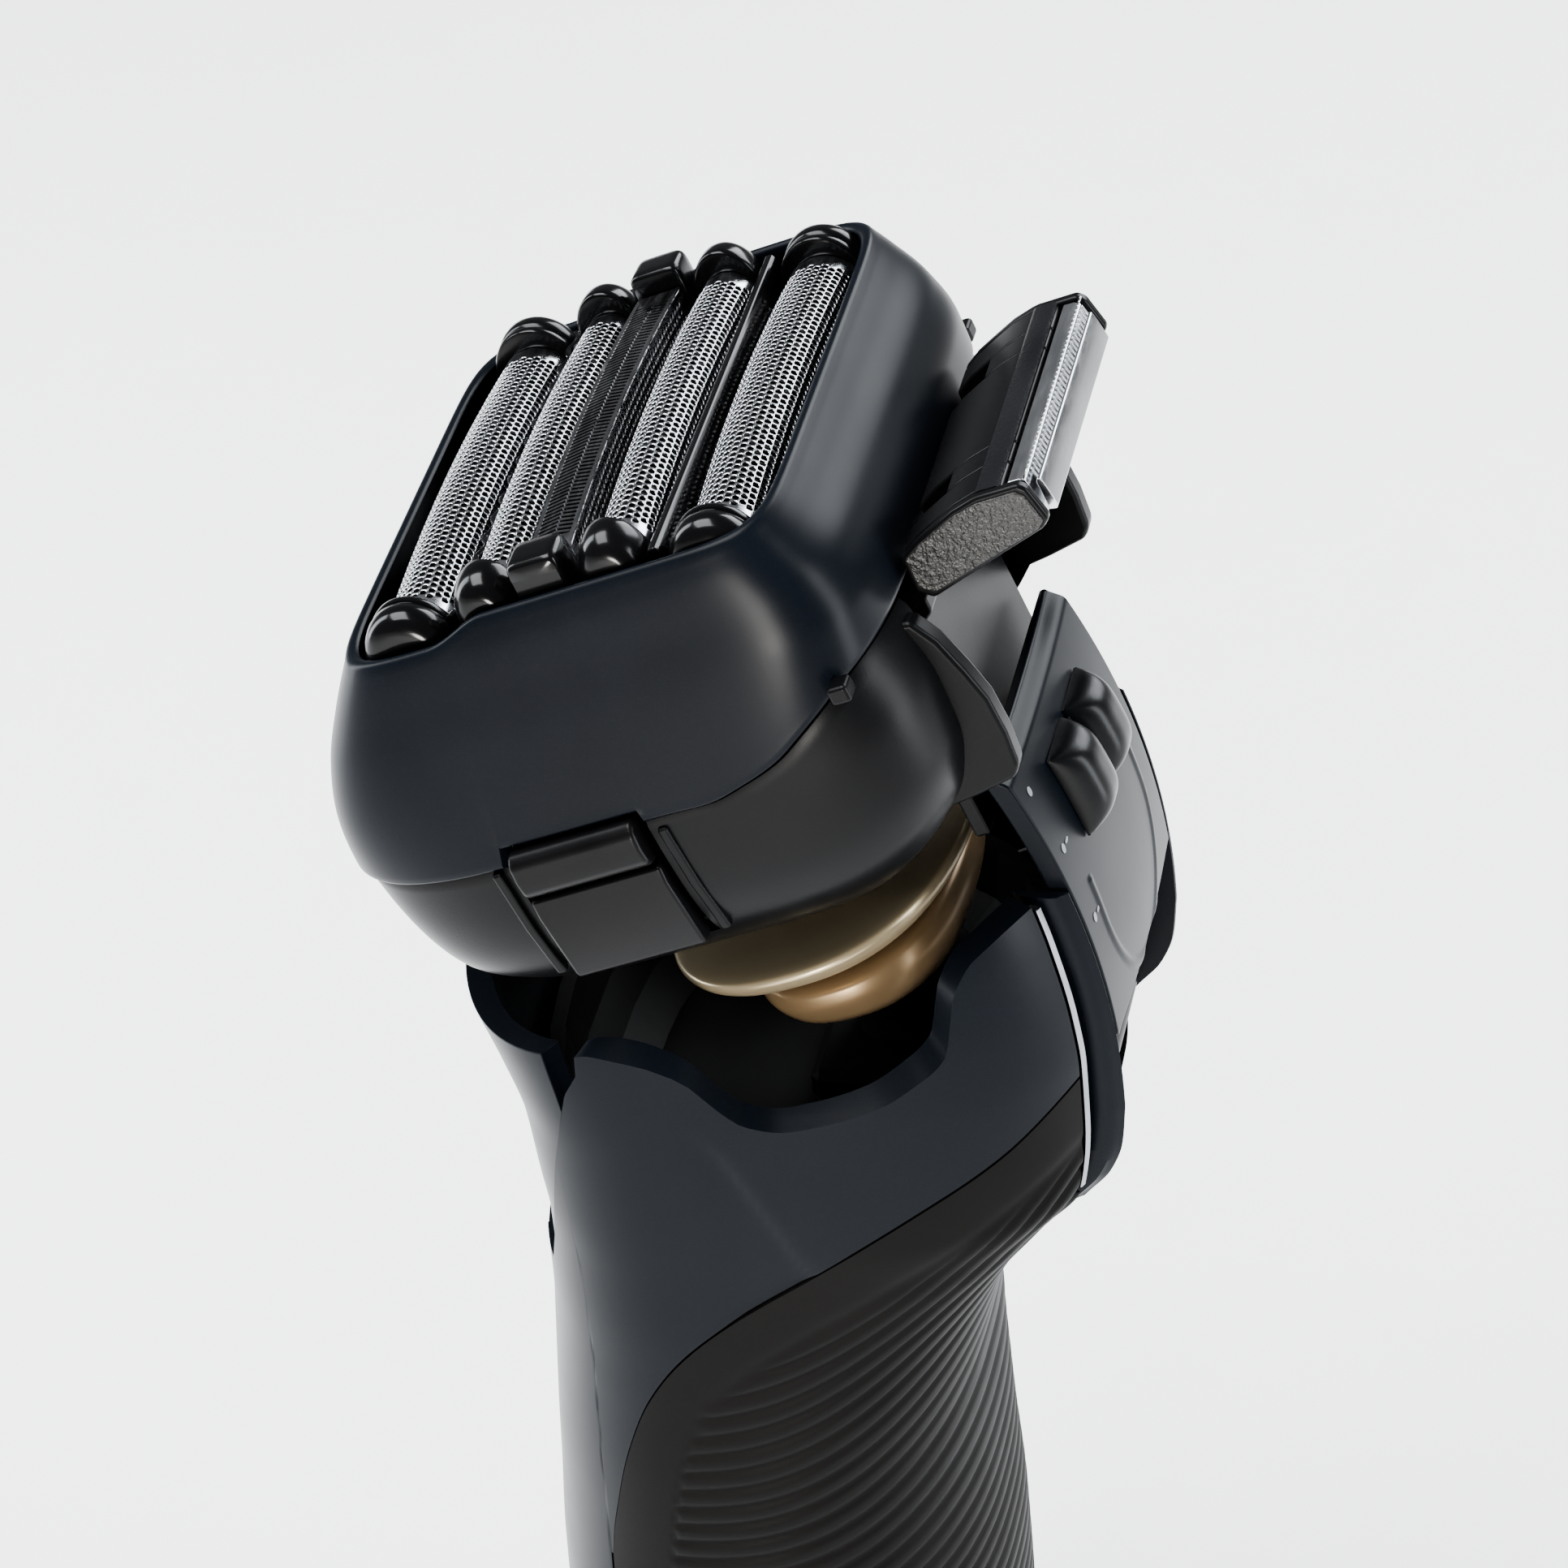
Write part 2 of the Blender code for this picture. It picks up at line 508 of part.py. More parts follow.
GF = grip_front_angle()
SIDE = spread(-64.0, GF - 2.0, 7) + spread(GF - 1.8, GF - 0.8, 8) + spread(GF, 60.4, 22)


for tag, flip in (("right", 0), ("left", 1)):
    def ang(d):
        return 180 - d if flip else d

    def side_lo(t):
        tt = math.pi - t if flip else t
        d = math.degrees(tt)
        if d < GF - 0.1:
            # the front edge of the grip runs straight down, so the shell steps down beside it
            return 3.0 + (on_edge(GRIP, math.radians(GF), 70.0) - 2.7) * max(0.0, min(1.0, d - GF + 1.8))
        return on_edge(GRIP, tt, 70.0) + GAP

    def side_hi(t):
        tt = math.pi - t if flip else t
        if hsec(110, tt)[1] > -6.0:
            return on_edge(RIM, tt, 112.0)
        return on_edge(FRONT_EDGE, tt, 95.0)

    patch("side_shell_" + tag, [ang(d) for d in SIDE], side_lo, side_hi, 8, "blue_black")
    patch("chrome_strip_" + tag, spread(ang(61.0), ang(63.4), 2), lambda t: 97.0, lambda t: 125.4, 12, "chrome", out=-0.05, wall=1.0)

# front housing: collar that rises in front of the head
def collar_lo(t):
    tt = math.pi - t if math.cos(t) < 0 else t
    if abs(math.degrees(tt) + 90) < 26.5:
        return 87.6
    return on_edge(FRONT_EDGE, tt, 95.0) + GAP + 0.35


patch("front_housing", spread(-158.0, -22.0, 28), collar_lo, lambda t: on_edge(RIM, math.pi - t if math.cos(t) < 0 else t, 112.0), 4, "blue_black", out=0.5)
front_panel = patch("front_panel", spread(-115.4, -64.6, 8), lambda t: 3.0, lambda t: 87.0, 8, "blue_black")
button_hole = loft("cutter_power", [[row(6.4 * math.cos(a), y, 66 + 6.4 * math.sin(a)) for a in (2 * math.pi * k / 24 for k in range(24))] for y in (-30, -10)], "steel")
window_hole = box("cutter_window", [((-6.0, 6.0), (-30.0, -10.0), (22.0, 50.0))], row, "steel")
cut(front_panel, [button_hole, window_hole])


def disc_y(name, x, z, r, y0, y1, mat, dome=0.0):
    rr = [(y1, r), (y0 + 0.5, r), (y0, r - 0.6), (y0 - dome, r * 0.5)]
    return loft(name, [[row(x + q * math.cos(a), y, z + q * math.sin(a)) for a in (2 * math.pi * k / 24 for k in range(24))]
                       for y, q in rr], mat)


disc_y("power_button", 0, 66, 5.9, -19.1, -16.8, "chrome", 0.3)
box("display_window", [((-5.7, 5.7), (-19.9, -18.2), (22.3, 49.7))], row, "gloss_black", bevel=0.4)

# rubber grip: wraps both sides and the back under the side shells
def grip_hi(t):
    tt = math.pi - t if math.cos(t) < 0 else t
    if math.degrees(tt) > 61.7:
        return 93.4
    if math.degrees(tt) > 60.5:
        return 96.5
    return on_edge(GRIP, tt, 70.0)


HALF = spread(GF, 60.4, 22) + [60.6, 61.5, 62.0] + spread(68.0, 90.0, 4)
patch("rubber_grip", HALF + [180 - d for d in reversed(HALF[:-1])], lambda t: 3.0, grip_hi, 8, "rubber")

# rear housing: channel with two rails that the slider panel runs in
def rail_y(z):
    return lerp(((92.0, 31.6), (94.2, 33.2), (97.0, 35.6), (100.0, 36.8), (104.0, 37.3)), z, 1) if z < 105 else \
        ARC_Y + math.sqrt(ARC_R ** 2 - (z - ARC_Z) ** 2)


rings = []
for z in (94.2, 95.2, 97.0, 98.5, 101.0, 104.0, 108.0, 113.0, 118.0, 122.0, 125.8):
    y = rail_y(z)
    d = 3.6 * smoothstep(96.0, 99.5, z) + 0.5
    w = 16.1
    rings.append([row(-w, y - 2.0, z), row(-w + 0.5, y - 0.9, z), row(-14.95, y - 0.3, z), row(-14.95, y - d, z),
                  row(14.95, y - d, z), row(14.95, y - 0.3, z), row(w - 0.5, y - 0.9, z), row(w, y - 2.0, z),
                  row(w - 0.3, y - 4.4, z), row(w - 1.9, y - 6.2, z), row(-w + 1.9, y - 6.2, z), row(-w + 0.3, y - 4.4, z)])
rear = loft("rear_housing", rings, "blue_black", fan=False)
cut(rear, [box("cutter_rear_window", [((-15.05, 15.05), (21.3, 46.1), (111.2, 141.0))], row, "steel")])

# ---------------------------------------------------------------- handle inside
def hring(z, inset, n=28, zz=None):
    return [row(*hsec(z, 2 * math.pi * (i + 0.5) / n, inset), z if zz is None else zz) for i in range(n)]


cup("inner_chassis", [hring(z, 3.2) for z in (4.0, 8.0, 20.0, 40.0, 56.0, 64.0)],
    [hring(z, 4.8) for z in (6.0, 8.5, 20.0, 40.0, 56.0, 64.0)], "black_plastic")
base = loft("base_cap", [hring(0.0, 0.6), hring(0.8, 0.0), hring(2.6, 0.0)], "black_plastic")


def stadium(a, b, z, yc, n=24):
    """Inlet outline: half width a, half height b, nearly round ends."""
    return superellipse(a, b, b, 3.2, n, yc, 0.0, z)


INLET_Y = 8.5
cut(base, [loft("cutter_inlet", [stadium(4.9, 2.9, -1.0, INLET_Y), stadium(4.9, 2.9, 3.4, INLET_Y)], "black_plastic")])
cup("charging_socket", [stadium(4.6, 2.6, z, INLET_Y) for z in (3.7, 0.5)],
    [stadium(3.7, 1.7, z, INLET_Y) for z in (2.7, 0.5)], "black_plastic")
loft("battery", [circle(7.2, 9.0, 24, row, 0, 4.0), circle(7.2, 58.5, 24, row, 0, 4.0)], "green_board")
box("circuit_board", [((-10.0, 10.0), (-8.0, -6.4), (9.0, 62.0))], row, "green_board")
box("neck_base", [((-9.0, 9.0), (8.0, 20.5), (97.6, 101.1))], row, "black_plastic", bevel=0.8)
LINER = ((94.0, 18.0, 9.0, 19.0), (96.5, 22.5, 12.0, 24.0), (101.0, 25.2, 14.0, 27.5), (106.0, 25.6, 14.8, 28.3))
cup("well_liner", [superellipse(a, f, r, 2.5, 28, 0, 0, z) for z, a, f, r in LINER],
    [superellipse(a - 1.3, f - 1.3, r - 1.3, 2.5, 28, 0, 0, z + (1.6 if z < 100 else 0)) for z, a, f, r in LINER], "rubber")
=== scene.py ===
import bpy, bmesh, math
from mathutils import Vector, Matrix


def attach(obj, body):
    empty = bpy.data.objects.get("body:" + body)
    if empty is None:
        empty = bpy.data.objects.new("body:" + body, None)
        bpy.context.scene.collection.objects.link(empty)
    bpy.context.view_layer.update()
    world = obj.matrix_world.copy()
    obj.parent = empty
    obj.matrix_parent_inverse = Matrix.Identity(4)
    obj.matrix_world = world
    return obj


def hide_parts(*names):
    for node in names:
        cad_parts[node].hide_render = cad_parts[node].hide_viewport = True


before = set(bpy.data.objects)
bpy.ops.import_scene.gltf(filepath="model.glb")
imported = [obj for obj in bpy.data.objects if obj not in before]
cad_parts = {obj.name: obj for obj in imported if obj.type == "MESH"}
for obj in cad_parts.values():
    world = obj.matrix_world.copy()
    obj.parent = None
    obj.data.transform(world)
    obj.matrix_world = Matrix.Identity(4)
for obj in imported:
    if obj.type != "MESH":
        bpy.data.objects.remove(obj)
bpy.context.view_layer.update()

MM = 0.001
TILT = math.radians(20.0)
COLL = bpy.context.scene.collection


# ------------------------------------------------------------------ frames
def head(x, y, z):
    c, s = math.cos(TILT), math.sin(TILT)
    return Vector((x, c * y - s * z - 5.6, s * y + c * z + 162.0)) * MM


def row(x, y, z):
    return Vector((x, y, z)) * MM


ARC_Y, ARC_Z, ARC_R = -27.7, 105.0, 65.0


def arc(x, deg, r):
    a = math.radians(deg)
    return row(x, ARC_Y + (ARC_R + r) * math.cos(a), ARC_Z + (ARC_R + r) * math.sin(a))


def lerp(table, v, k):
    if v <= table[0][0]:
        return table[0][k]
    for a, b in zip(table, table[1:]):
        if v <= b[0]:
            f = (v - a[0]) / (b[0] - a[0])
            return a[k] + f * (b[k] - a[k])
    return table[-1][k]


def smooth_lerp(table, v, k):
    """Monotone cubic through a table, so that lofts show no facets."""
    if v <= table[0][0]:
        return table[0][k]
    if v >= table[-1][0]:
        return table[-1][k]
    for i in range(len(table) - 1):
        if v <= table[i + 1][0]:
            break
    x0, x1 = table[i][0], table[i + 1][0]
    y0, y1 = table[i][k], table[i + 1][k]
    h = x1 - x0
    d = (y1 - y0) / h

    def slope(j):
        if j <= 0 or j >= len(table) - 1:
            a = max(0, min(j, len(table) - 2))
            return (table[a + 1][k] - table[a][k]) / (table[a + 1][0] - table[a][0])
        da = (table[j][k] - table[j - 1][k]) / (table[j][0] - table[j - 1][0])
        db = (table[j + 1][k] - table[j][k]) / (table[j + 1][0] - table[j][0])
        return 0.0 if da * db <= 0 else 2 * da * db / (da + db)

    m0, m1 = slope(i), slope(i + 1)
    t = (v - x0) / h
    return ((2 * t ** 3 - 3 * t * t + 1) * y0 + (t ** 3 - 2 * t * t + t) * h * m0
            + (-2 * t ** 3 + 3 * t * t) * y1 + (t ** 3 - t * t) * h * m1)


def step01(a, b, v):
    t = max(0.0, min(1.0, (v - a) / (b - a)))
    return t * t * (3 - 2 * t)


# ------------------------------------------------------------------ meshes
def finish(name, bm, mat, smooth=40.0, dist=1e-6, orient=True):
    bmesh.ops.remove_doubles(bm, verts=bm.verts, dist=dist)
    if orient:
        bmesh.ops.recalc_face_normals(bm, faces=bm.faces)
        if bm.calc_volume(signed=True) < 0:
            bmesh.ops.reverse_faces(bm, faces=bm.faces)
    me = bpy.data.meshes.new(name)
    bm.to_mesh(me)
    bm.free()
    ob = bpy.data.objects.new(name, me)
    COLL.objects.link(ob)
    me.materials.append(MAT[mat])
    if smooth:
        me.shade_smooth()
        me.set_sharp_from_angle(angle=math.radians(smooth))
    return ob


def loft_into(bm, rings, fan=True, loop=False):
    vs = [[bm.verts.new(p) for p in r] for r in rings]
    n = len(rings[0])
    for a, b in zip(vs, vs[1:] + ([vs[0]] if loop else [])):
        for i in range(n):
            j = (i + 1) % n
            bm.faces.new((a[i], a[j], b[j], b[i]))
    if loop:
        return vs
    for ring, flip in ((vs[0], True), (vs[-1], False)):
        if fan:
            c = Vector((0, 0, 0))
            for v in ring:
                c += v.co
            cv = bm.verts.new(c / n)
            for i in range(n):
                j = (i + 1) % n
                bm.faces.new((cv, ring[j], ring[i]) if flip else (cv, ring[i], ring[j]))
        else:
            bm.faces.new(list(reversed(ring)) if flip else ring)
    return vs


def loft(name, rings, mat, smooth=40.0, fan=True, loop=False):
    bm = bmesh.new()
    loft_into(bm, rings, fan, loop)
    return finish(name, bm, mat, smooth)


def prism_into(bm, outline, x0, x1, place, bevel=0.0, segs=2):
    a = [bm.verts.new(place(x0, u, v)) for u, v in outline]
    b = [bm.verts.new(place(x1, u, v)) for u, v in outline]
    n = len(outline)
    fs = []
    for i in range(n):
        j = (i + 1) % n
        fs.append(bm.faces.new((a[i], a[j], b[j], b[i])))
    fs.append(bm.faces.new(list(reversed(a))))
    fs.append(bm.faces.new(b))
    if bevel:
        es = set()
        for f in fs:
            es.update(f.edges)
        bmesh.ops.bevel(bm, geom=list(es), offset=bevel * MM, segments=segs, affect='EDGES', clamp_overlap=True)


def prism(name, outline, spans, place, mat, bevel=0.0, smooth=40.0, segs=2):
    bm = bmesh.new()
    for x0, x1 in spans:
        prism_into(bm, outline, x0, x1, place, bevel, segs)
    return finish(name, bm, mat, smooth)


def soften(ob, width, segments=3, angle=40.0):
    m = ob.modifiers.new("edge", 'BEVEL')
    m.width = width * MM
    m.segments = segments
    m.limit_method = 'ANGLE'
    m.angle_limit = math.radians(angle)
    m.harden_normals = True
    m.use_clamp_overlap = True
    return ob


def part(ob, body, *nodes, slot=None):
    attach(ob, body)
    if nodes:
        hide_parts(*nodes)
    return ob


# ------------------------------------------------------------------ materials
MAT = {}


def nodes_of(key):
    m = bpy.data.materials.new(key)
    m.use_nodes = True
    nt = m.node_tree
    MAT[key] = m
    return m, nt, nt.nodes["Principled BSDF"]


def obj_coords(nt):
    return nt.nodes.new("ShaderNodeTexCoord").outputs["Object"]


def noise(nt, vec, scale, detail=2.0, rough=0.5):
    n = nt.nodes.new("ShaderNodeTexNoise")
    n.inputs["Scale"].default_value = scale
    n.inputs["Detail"].default_value = detail
    n.inputs["Roughness"].default_value = rough
    nt.links.new(vec, n.inputs["Vector"])
    return n.outputs["Fac"]


def ramp(nt, fac, stops):
    r = nt.nodes.new("ShaderNodeValToRGB")
    el = r.color_ramp.elements
    el[0].position, el[0].color = stops[0][0], stops[0][1]
    el[1].position, el[1].color = stops[-1][0], stops[-1][1]
    for p, c in stops[1:-1]:
        e = el.new(p)
        e.color = c
    nt.links.new(fac, r.inputs["Fac"])
    return r.outputs["Color"]


def maprange(nt, fac, a, b, lo, hi):
    r = nt.nodes.new("ShaderNodeMapRange")
    for k, v in (("From Min", a), ("From Max", b), ("To Min", lo), ("To Max", hi)):
        r.inputs[k].default_value = v
    nt.links.new(fac, r.inputs["Value"])
    return r.outputs["Result"]


def bump(nt, bsdf, height, strength, dist, base=None):
    b = nt.nodes.new("ShaderNodeBump")
    b.inputs["Strength"].default_value = strength
    b.inputs["Distance"].default_value = dist
    nt.links.new(height, b.inputs["Height"])
    if base is not None:
        nt.links.new(base, b.inputs["Normal"])
    nt.links.new(b.outputs["Normal"], bsdf.inputs["Normal"])
    return b.outputs["Normal"]


def plastic(key, dark, light, rough, grain, grain_scale, bump_dist, rough_var=0.06, metal=0.0, coat=0.0, spec=0.5, sparkle=0.0):
    """Moulded or painted plastic: fine grain in the bump, slight wear in the roughness, flake sparkle if painted."""
    m, nt, b = nodes_of(key)
    co = obj_coords(nt)
    big = noise(nt, co, 90.0, 3.0)
    fine = noise(nt, co, grain_scale, 2.0, 0.6)
    col = ramp(nt, big, ((0.3, (*dark, 1)), (0.7, (*light, 1))))
    if sparkle:
        v = nt.nodes.new("ShaderNodeTexVoronoi")
        v.inputs["Scale"].default_value = 9000.0
        nt.links.new(co, v.inputs["Vector"])
        hit = maprange(nt, v.outputs["Distance"], 0.0, 0.22, 1.0, 0.0)
        mix = nt.nodes.new("ShaderNodeMix")
        mix.data_type = 'RGBA'
        mix.inputs[7].default_value = (*[min(1, c * 3 + sparkle) for c in light], 1)
        nt.links.new(hit, mix.inputs[0])
        nt.links.new(col, mix.inputs[6])
        col = mix.outputs[2]
    nt.links.new(col, b.inputs["Base Color"])
    nt.links.new(maprange(nt, big, 0.25, 0.75, rough - rough_var, rough + rough_var), b.inputs["Roughness"])
    b.inputs["Metallic"].default_value = metal
    b.inputs["Specular IOR Level"].default_value = spec
    if coat:
        b.inputs["Coat Weight"].default_value = coat
        b.inputs["Coat Roughness"].default_value = 0.12
    bump(nt, b, fine, grain, bump_dist)
    return m


def metal(key, dark, light, rough, brush=None, bump_dist=2e-6, strength=0.35, aniso=0.0):
    m, nt, b = nodes_of(key)
    co = obj_coords(nt)
    mp = nt.nodes.new("ShaderNodeMapping")
    mp.inputs["Scale"].default_value = brush or (1, 1, 1)
    nt.links.new(co, mp.inputs["Vector"])
    n = noise(nt, mp.outputs["Vector"], 1500.0, 3.0, 0.6)
    big = noise(nt, co, 120.0, 2.0)
    nt.links.new(ramp(nt, big, ((0.3, (*dark, 1)), (0.7, (*light, 1)))), b.inputs["Base Color"])
    nt.links.new(maprange(nt, n, 0.3, 0.7, rough * 0.7, rough * 1.35), b.inputs["Roughness"])
    b.inputs["Metallic"].default_value = 1.0
    if aniso:
        b.inputs["Anisotropic"].default_value = aniso
    bump(nt, b, n, strength, bump_dist)
    return m


plastic("paint_blue_black", (0.0014, 0.0022, 0.0037), (0.0019, 0.0029, 0.0048), 0.32, 0.3, 5200.0, 1.0e-5, 0.03, 0.0, 0.0, 0.060, 0.008)
plastic("case_black", (0.0011, 0.0012, 0.0014), (0.0018, 0.0019, 0.0022), 0.34, 0.5, 4300.0, 1.6e-5, 0.05, spec=0.075)
plastic("button_black", (0.0012, 0.0012, 0.0014), (0.0019, 0.0019, 0.0022), 0.32, 0.5, 4800.0, 1.4e-5, 0.05, spec=0.09)
plastic("gloss_black", (0.0010, 0.0010, 0.0012), (0.0016, 0.0016, 0.0019), 0.16, 0.2, 3000.0, 4e-6, 0.04, spec=0.16)
plastic("flap_black", (0.0012, 0.0012, 0.0014), (0.0019, 0.0019, 0.0022), 0.30, 0.4, 4200.0, 1.0e-5, 0.05, spec=0.09)
plastic("flap_coarse", (0.0045, 0.0042, 0.0040), (0.016, 0.015, 0.014), 0.36, 1.0, 2200.0, 2.2e-4, 0.08, spec=0.30)
plastic("flap_fine", (0.0022, 0.0022, 0.0027), (0.0050, 0.0050, 0.0058), 0.34, 1.0, 3000.0, 5.0e-5, 0.06, spec=0.12)
plastic("knob_black", (0.0024, 0.0026, 0.0030), (0.0034, 0.0036, 0.0041), 0.32, 0.5, 4200.0, 1.6e-5, 0.04, spec=0.12)
plastic("rubber_black", (0.0018, 0.0016, 0.0015), (0.0029, 0.0026, 0.0024), 0.50, 0.5, 5200.0, 1.5e-5, 0.05, 0.0, 0.0, 0.035)
# dark inner plastic; also put on the steel cutter lamellae as painted shade under the foil holes
plastic("inner_black_and_painted_shade", (0.0012, 0.0012, 0.0012), (0.0018, 0.0018, 0.0018), 0.6, 0.3, 3000.0, 8e-6, spec=0.12)
plastic("mark_grey", (0.17, 0.18, 0.19), (0.21, 0.22, 0.23), 0.5, 0.2, 3000.0, 2e-6)
plastic("board_green", (0.01, 0.09, 0.03), (0.015, 0.12, 0.045), 0.4, 0.3, 3000.0, 6e-6)
plastic("nylon_white", (0.5, 0.5, 0.48), (0.6, 0.6, 0.58), 0.45, 0.3, 3000.0, 6e-6)
metal("foil_steel", (0.46, 0.47, 0.49), (0.60, 0.61, 0.63), 0.17, (0.25, 1, 1))
metal("comb_steel", (0.13, 0.13, 0.135), (0.19, 0.19, 0.195), 0.24, (0.25, 1, 1))
metal("blade_steel", (0.52, 0.53, 0.55), (0.66, 0.67, 0.69), 0.18, (0.2, 1, 1))
metal("dark_metal", (0.04, 0.04, 0.042), (0.07, 0.07, 0.073), 0.35, (1, 1, 1))
metal("chrome_line", (0.20, 0.21, 0.23), (0.29, 0.30, 0.32), 0.18, (1, 1, 0.2))
metal("power_ring", (0.20, 0.20, 0.21), (0.26, 0.26, 0.27), 0.28, (1, 1, 1))
plastic("gold_paint", (0.40, 0.32, 0.19), (0.45, 0.36, 0.22), 0.32, 0.15, 3000.0, 2e-6, 0.03, 0.55, 0.0, 0.5)
plastic("bronze_paint", (0.24, 0.155, 0.075), (0.29, 0.19, 0.095), 0.36, 0.2, 3000.0, 3e-6, 0.03, 0.55, 0.0, 0.4)
plastic("floor_pale", (0.90, 0.90, 0.90), (0.92, 0.92, 0.92), 0.8, 0.05, 200.0, 1e-5, spec=0.1)

# ------------------------------------------------------------------ camera, floor and light
cam_data = bpy.data.cameras.new("camera")
cam_data.lens = 136.0
cam_data.sensor_width = 36.0
cam_data.clip_start = 0.01
cam = bpy.data.objects.new("camera", cam_data)
COLL.objects.link(cam)
cam.matrix_world = Matrix(((-0.195902, -0.563131, 0.802811, 0.406692),
                           (0.976162, -0.033979, 0.214369, 0.114935),
                           (-0.093439, 0.825669, 0.556364, 0.407068),
                           (0, 0, 0, 1)))
bpy.context.scene.camera = cam

floor_mesh = bpy.data.meshes.new("floor")
FS = 3.0
floor_mesh.from_pydata([(-FS, -FS, -0.0004), (FS, -FS, -0.0004), (FS, FS, -0.0004), (-FS, FS, -0.0004)], [], [(0, 1, 2, 3)])
floor = bpy.data.objects.new("floor", floor_mesh)
floor_bsdf = next(n for n in MAT["floor_pale"].node_tree.nodes if n.type == 'BSDF_PRINCIPLED')
floor_bsdf.inputs["Emission Color"].default_value = (1, 1, 1, 1)
floor_bsdf.inputs["Emission Strength"].default_value = 0.85
floor_mesh.materials.append(MAT["floor_pale"])
COLL.objects.link(floor)

world = bpy.data.worlds.new("studio")
world.use_nodes = True
world.node_tree.nodes["Background"].inputs["Color"].default_value = (0.93, 0.96, 1.0, 1)
world.node_tree.nodes["Background"].inputs["Strength"].default_value = 0.20
bpy.context.scene.world = world


def lamp(name, loc, target, sx, sy, watts, rgb=(1, 1, 1)):
    d = bpy.data.lights.new(name, 'AREA')
    d.shape = 'RECTANGLE'
    d.size, d.size_y, d.energy, d.color = sx, sy, watts, rgb
    o = bpy.data.objects.new(name, d)
    COLL.objects.link(o)
    o.location = loc
    o.rotation_euler = (Vector(target) - Vector(loc)).to_track_quat('-Z', 'Y').to_euler()
    return o


AIM = (0.0, 0.0, 0.12)
lamp("key_top", (0.05, -0.25, 0.75), AIM, 0.55, 0.40, 15.0, (0.97, 0.985, 1.0))
lamp("strip_left", (-0.10, -0.60, 0.30), AIM, 0.22, 0.60, 8.0, (0.90, 0.95, 1.0))
lamp("strip_right", (0.05, 0.62, 0.25), AIM, 0.20, 0.60, 7.0, (0.92, 0.96, 1.0))
lamp("back_rim", (-0.55, 0.25, 0.45), AIM, 0.40, 0.30, 6.0, (0.92, 0.96, 1.0))
lamp("low_side", (0.62, -0.02, 0.10), (0.0, 0.0, 0.115), 0.10, 0.10, 5.0, (1.0, 0.96, 0.90))


# ------------------------------------------------------------------ head shell and case
FOIL_HALF, CAP_LEN, GAP = 21.0, 2.9, 0.3
FOIL_Y = (-13.8, -5.8, 0.0, 5.8, 14.1)
FOIL_TOP = (-1.4, -0.5, -0.2, -0.2, -1.4)
FOIL_R = (3.5, 2.6, 2.0, 2.6, 3.5)
SHELL = ((-22.6, 29.8, 31.2, 24.0), (-17.0, 29.1, 29.2, 24.0), (-12.0, 28.3, 26.6, 24.0),
         (-8.0, 27.5, 23.8, 23.1), (-4.4, 26.8, 21.0, 21.3), (-2.3, 26.2, 19.3, 20.2))
PARTING = ((-32.0, -22.5), (-17.0, -22.7), (2.0, -21.9), (6.0, -22.0), (10.0, -21.2),
           (13.2, -20.2), (16.0, -18.7), (19.1, -17.0), (21.4, -15.9), (24.0, -15.3), (28.0, -15.3))
CASE = ((0.0, 29.3, 30.7, 24.2), (0.25, 29.0, 30.1, 25.4), (0.45, 28.5, 29.3, 25.2),
        (0.64, 27.4, 28.1, 23.6), (0.78, 25.5, 25.9, 20.5), (0.90, 22.6, 22.6, 17.0),
        (1.0, 19.0, 18.8, 13.0))
CASE_BOTTOM = -40.4
BTN_Y, BTN_Z = (-12.6, 0.4), (-35.2, -20.9)


def squircle(phi, n):
    c, s = math.cos(phi), math.sin(phi)
    k = (abs(c) ** n + abs(s) ** n) ** (-1.0 / n)
    return c * k, s * k


def phi_at(uy, n):
    lo, hi = 0.0, math.pi / 2
    for _ in range(40):
        m = (lo + hi) / 2
        if squircle(m, n)[1] < abs(uy):
            lo = m
        else:
            hi = m
    return lo if uy > 0 else -lo


def ring_phis(count, extra):
    out = [2 * math.pi * (i + 0.5) / count for i in range(count)]
    for y in extra:
        p = phi_at(y / (24.0 if y > 0 else 31.0), 6.0 if y > 0 else 4.2)
        out += [p % (2 * math.pi), (math.pi - p) % (2 * math.pi)]
    return sorted(out)


PHIS = ring_phis(224, (-12.75, -12.5, 0.3, 0.55))


def parting(y):
    return smooth_lerp(PARTING, y, 1)


def shell_edge(ux, y):
    return BTN_Z[1] if BTN_Y[0] <= y <= BTN_Y[1] and abs(ux) > 0.6 else parting(y)


def shell_ring(f, inset, dz=0.0, notch=True):
    out = []
    for phi in PHIS:
        rear = math.sin(phi) > 0
        n = 9.0 + ((6.0 if rear else 4.2) - 9.0) * f
        ux, uy = squircle(phi, n)
        y = uy * (24.0 if rear else 31.0)
        zb = shell_edge(ux, y) if notch else parting(y)
        zt = -2.3 - (0.0 if rear else 1.4 * step01(9.0, 17.0, -y))
        z = zt + f * (zb - zt)
        a = smooth_lerp(SHELL, z, 1) - inset
        b = smooth_lerp(SHELL, z, 3 if rear else 2) - inset
        out.append(head(a * ux, b * uy, z + dz))
    return out


rings = [shell_ring(1.0, 0.9), shell_ring(1.0, 0.25), shell_ring(1.0, 0.08, 0.06), shell_ring(1.0, 0.0, 0.25)]
for k in range(1, 34):
    f = 1.0 - 0.985 * (k / 34.0) - 0.012
    rings.append(shell_ring(f, 0.0))
for k in range(1, 9):
    a = math.pi * k / 9
    rings.append(shell_ring(0.0, 0.55 * (1 - math.cos(a)), 0.55 * math.sin(a) - 0.05))
for k in range(1, 16):
    rings.append(shell_ring(k / 15.0 * 0.985, 1.1))
shell = loft("head_shell", rings, "paint_blue_black", 50, loop=True)
part(shell, "head", "outer_head_shell", slot="blue_black")


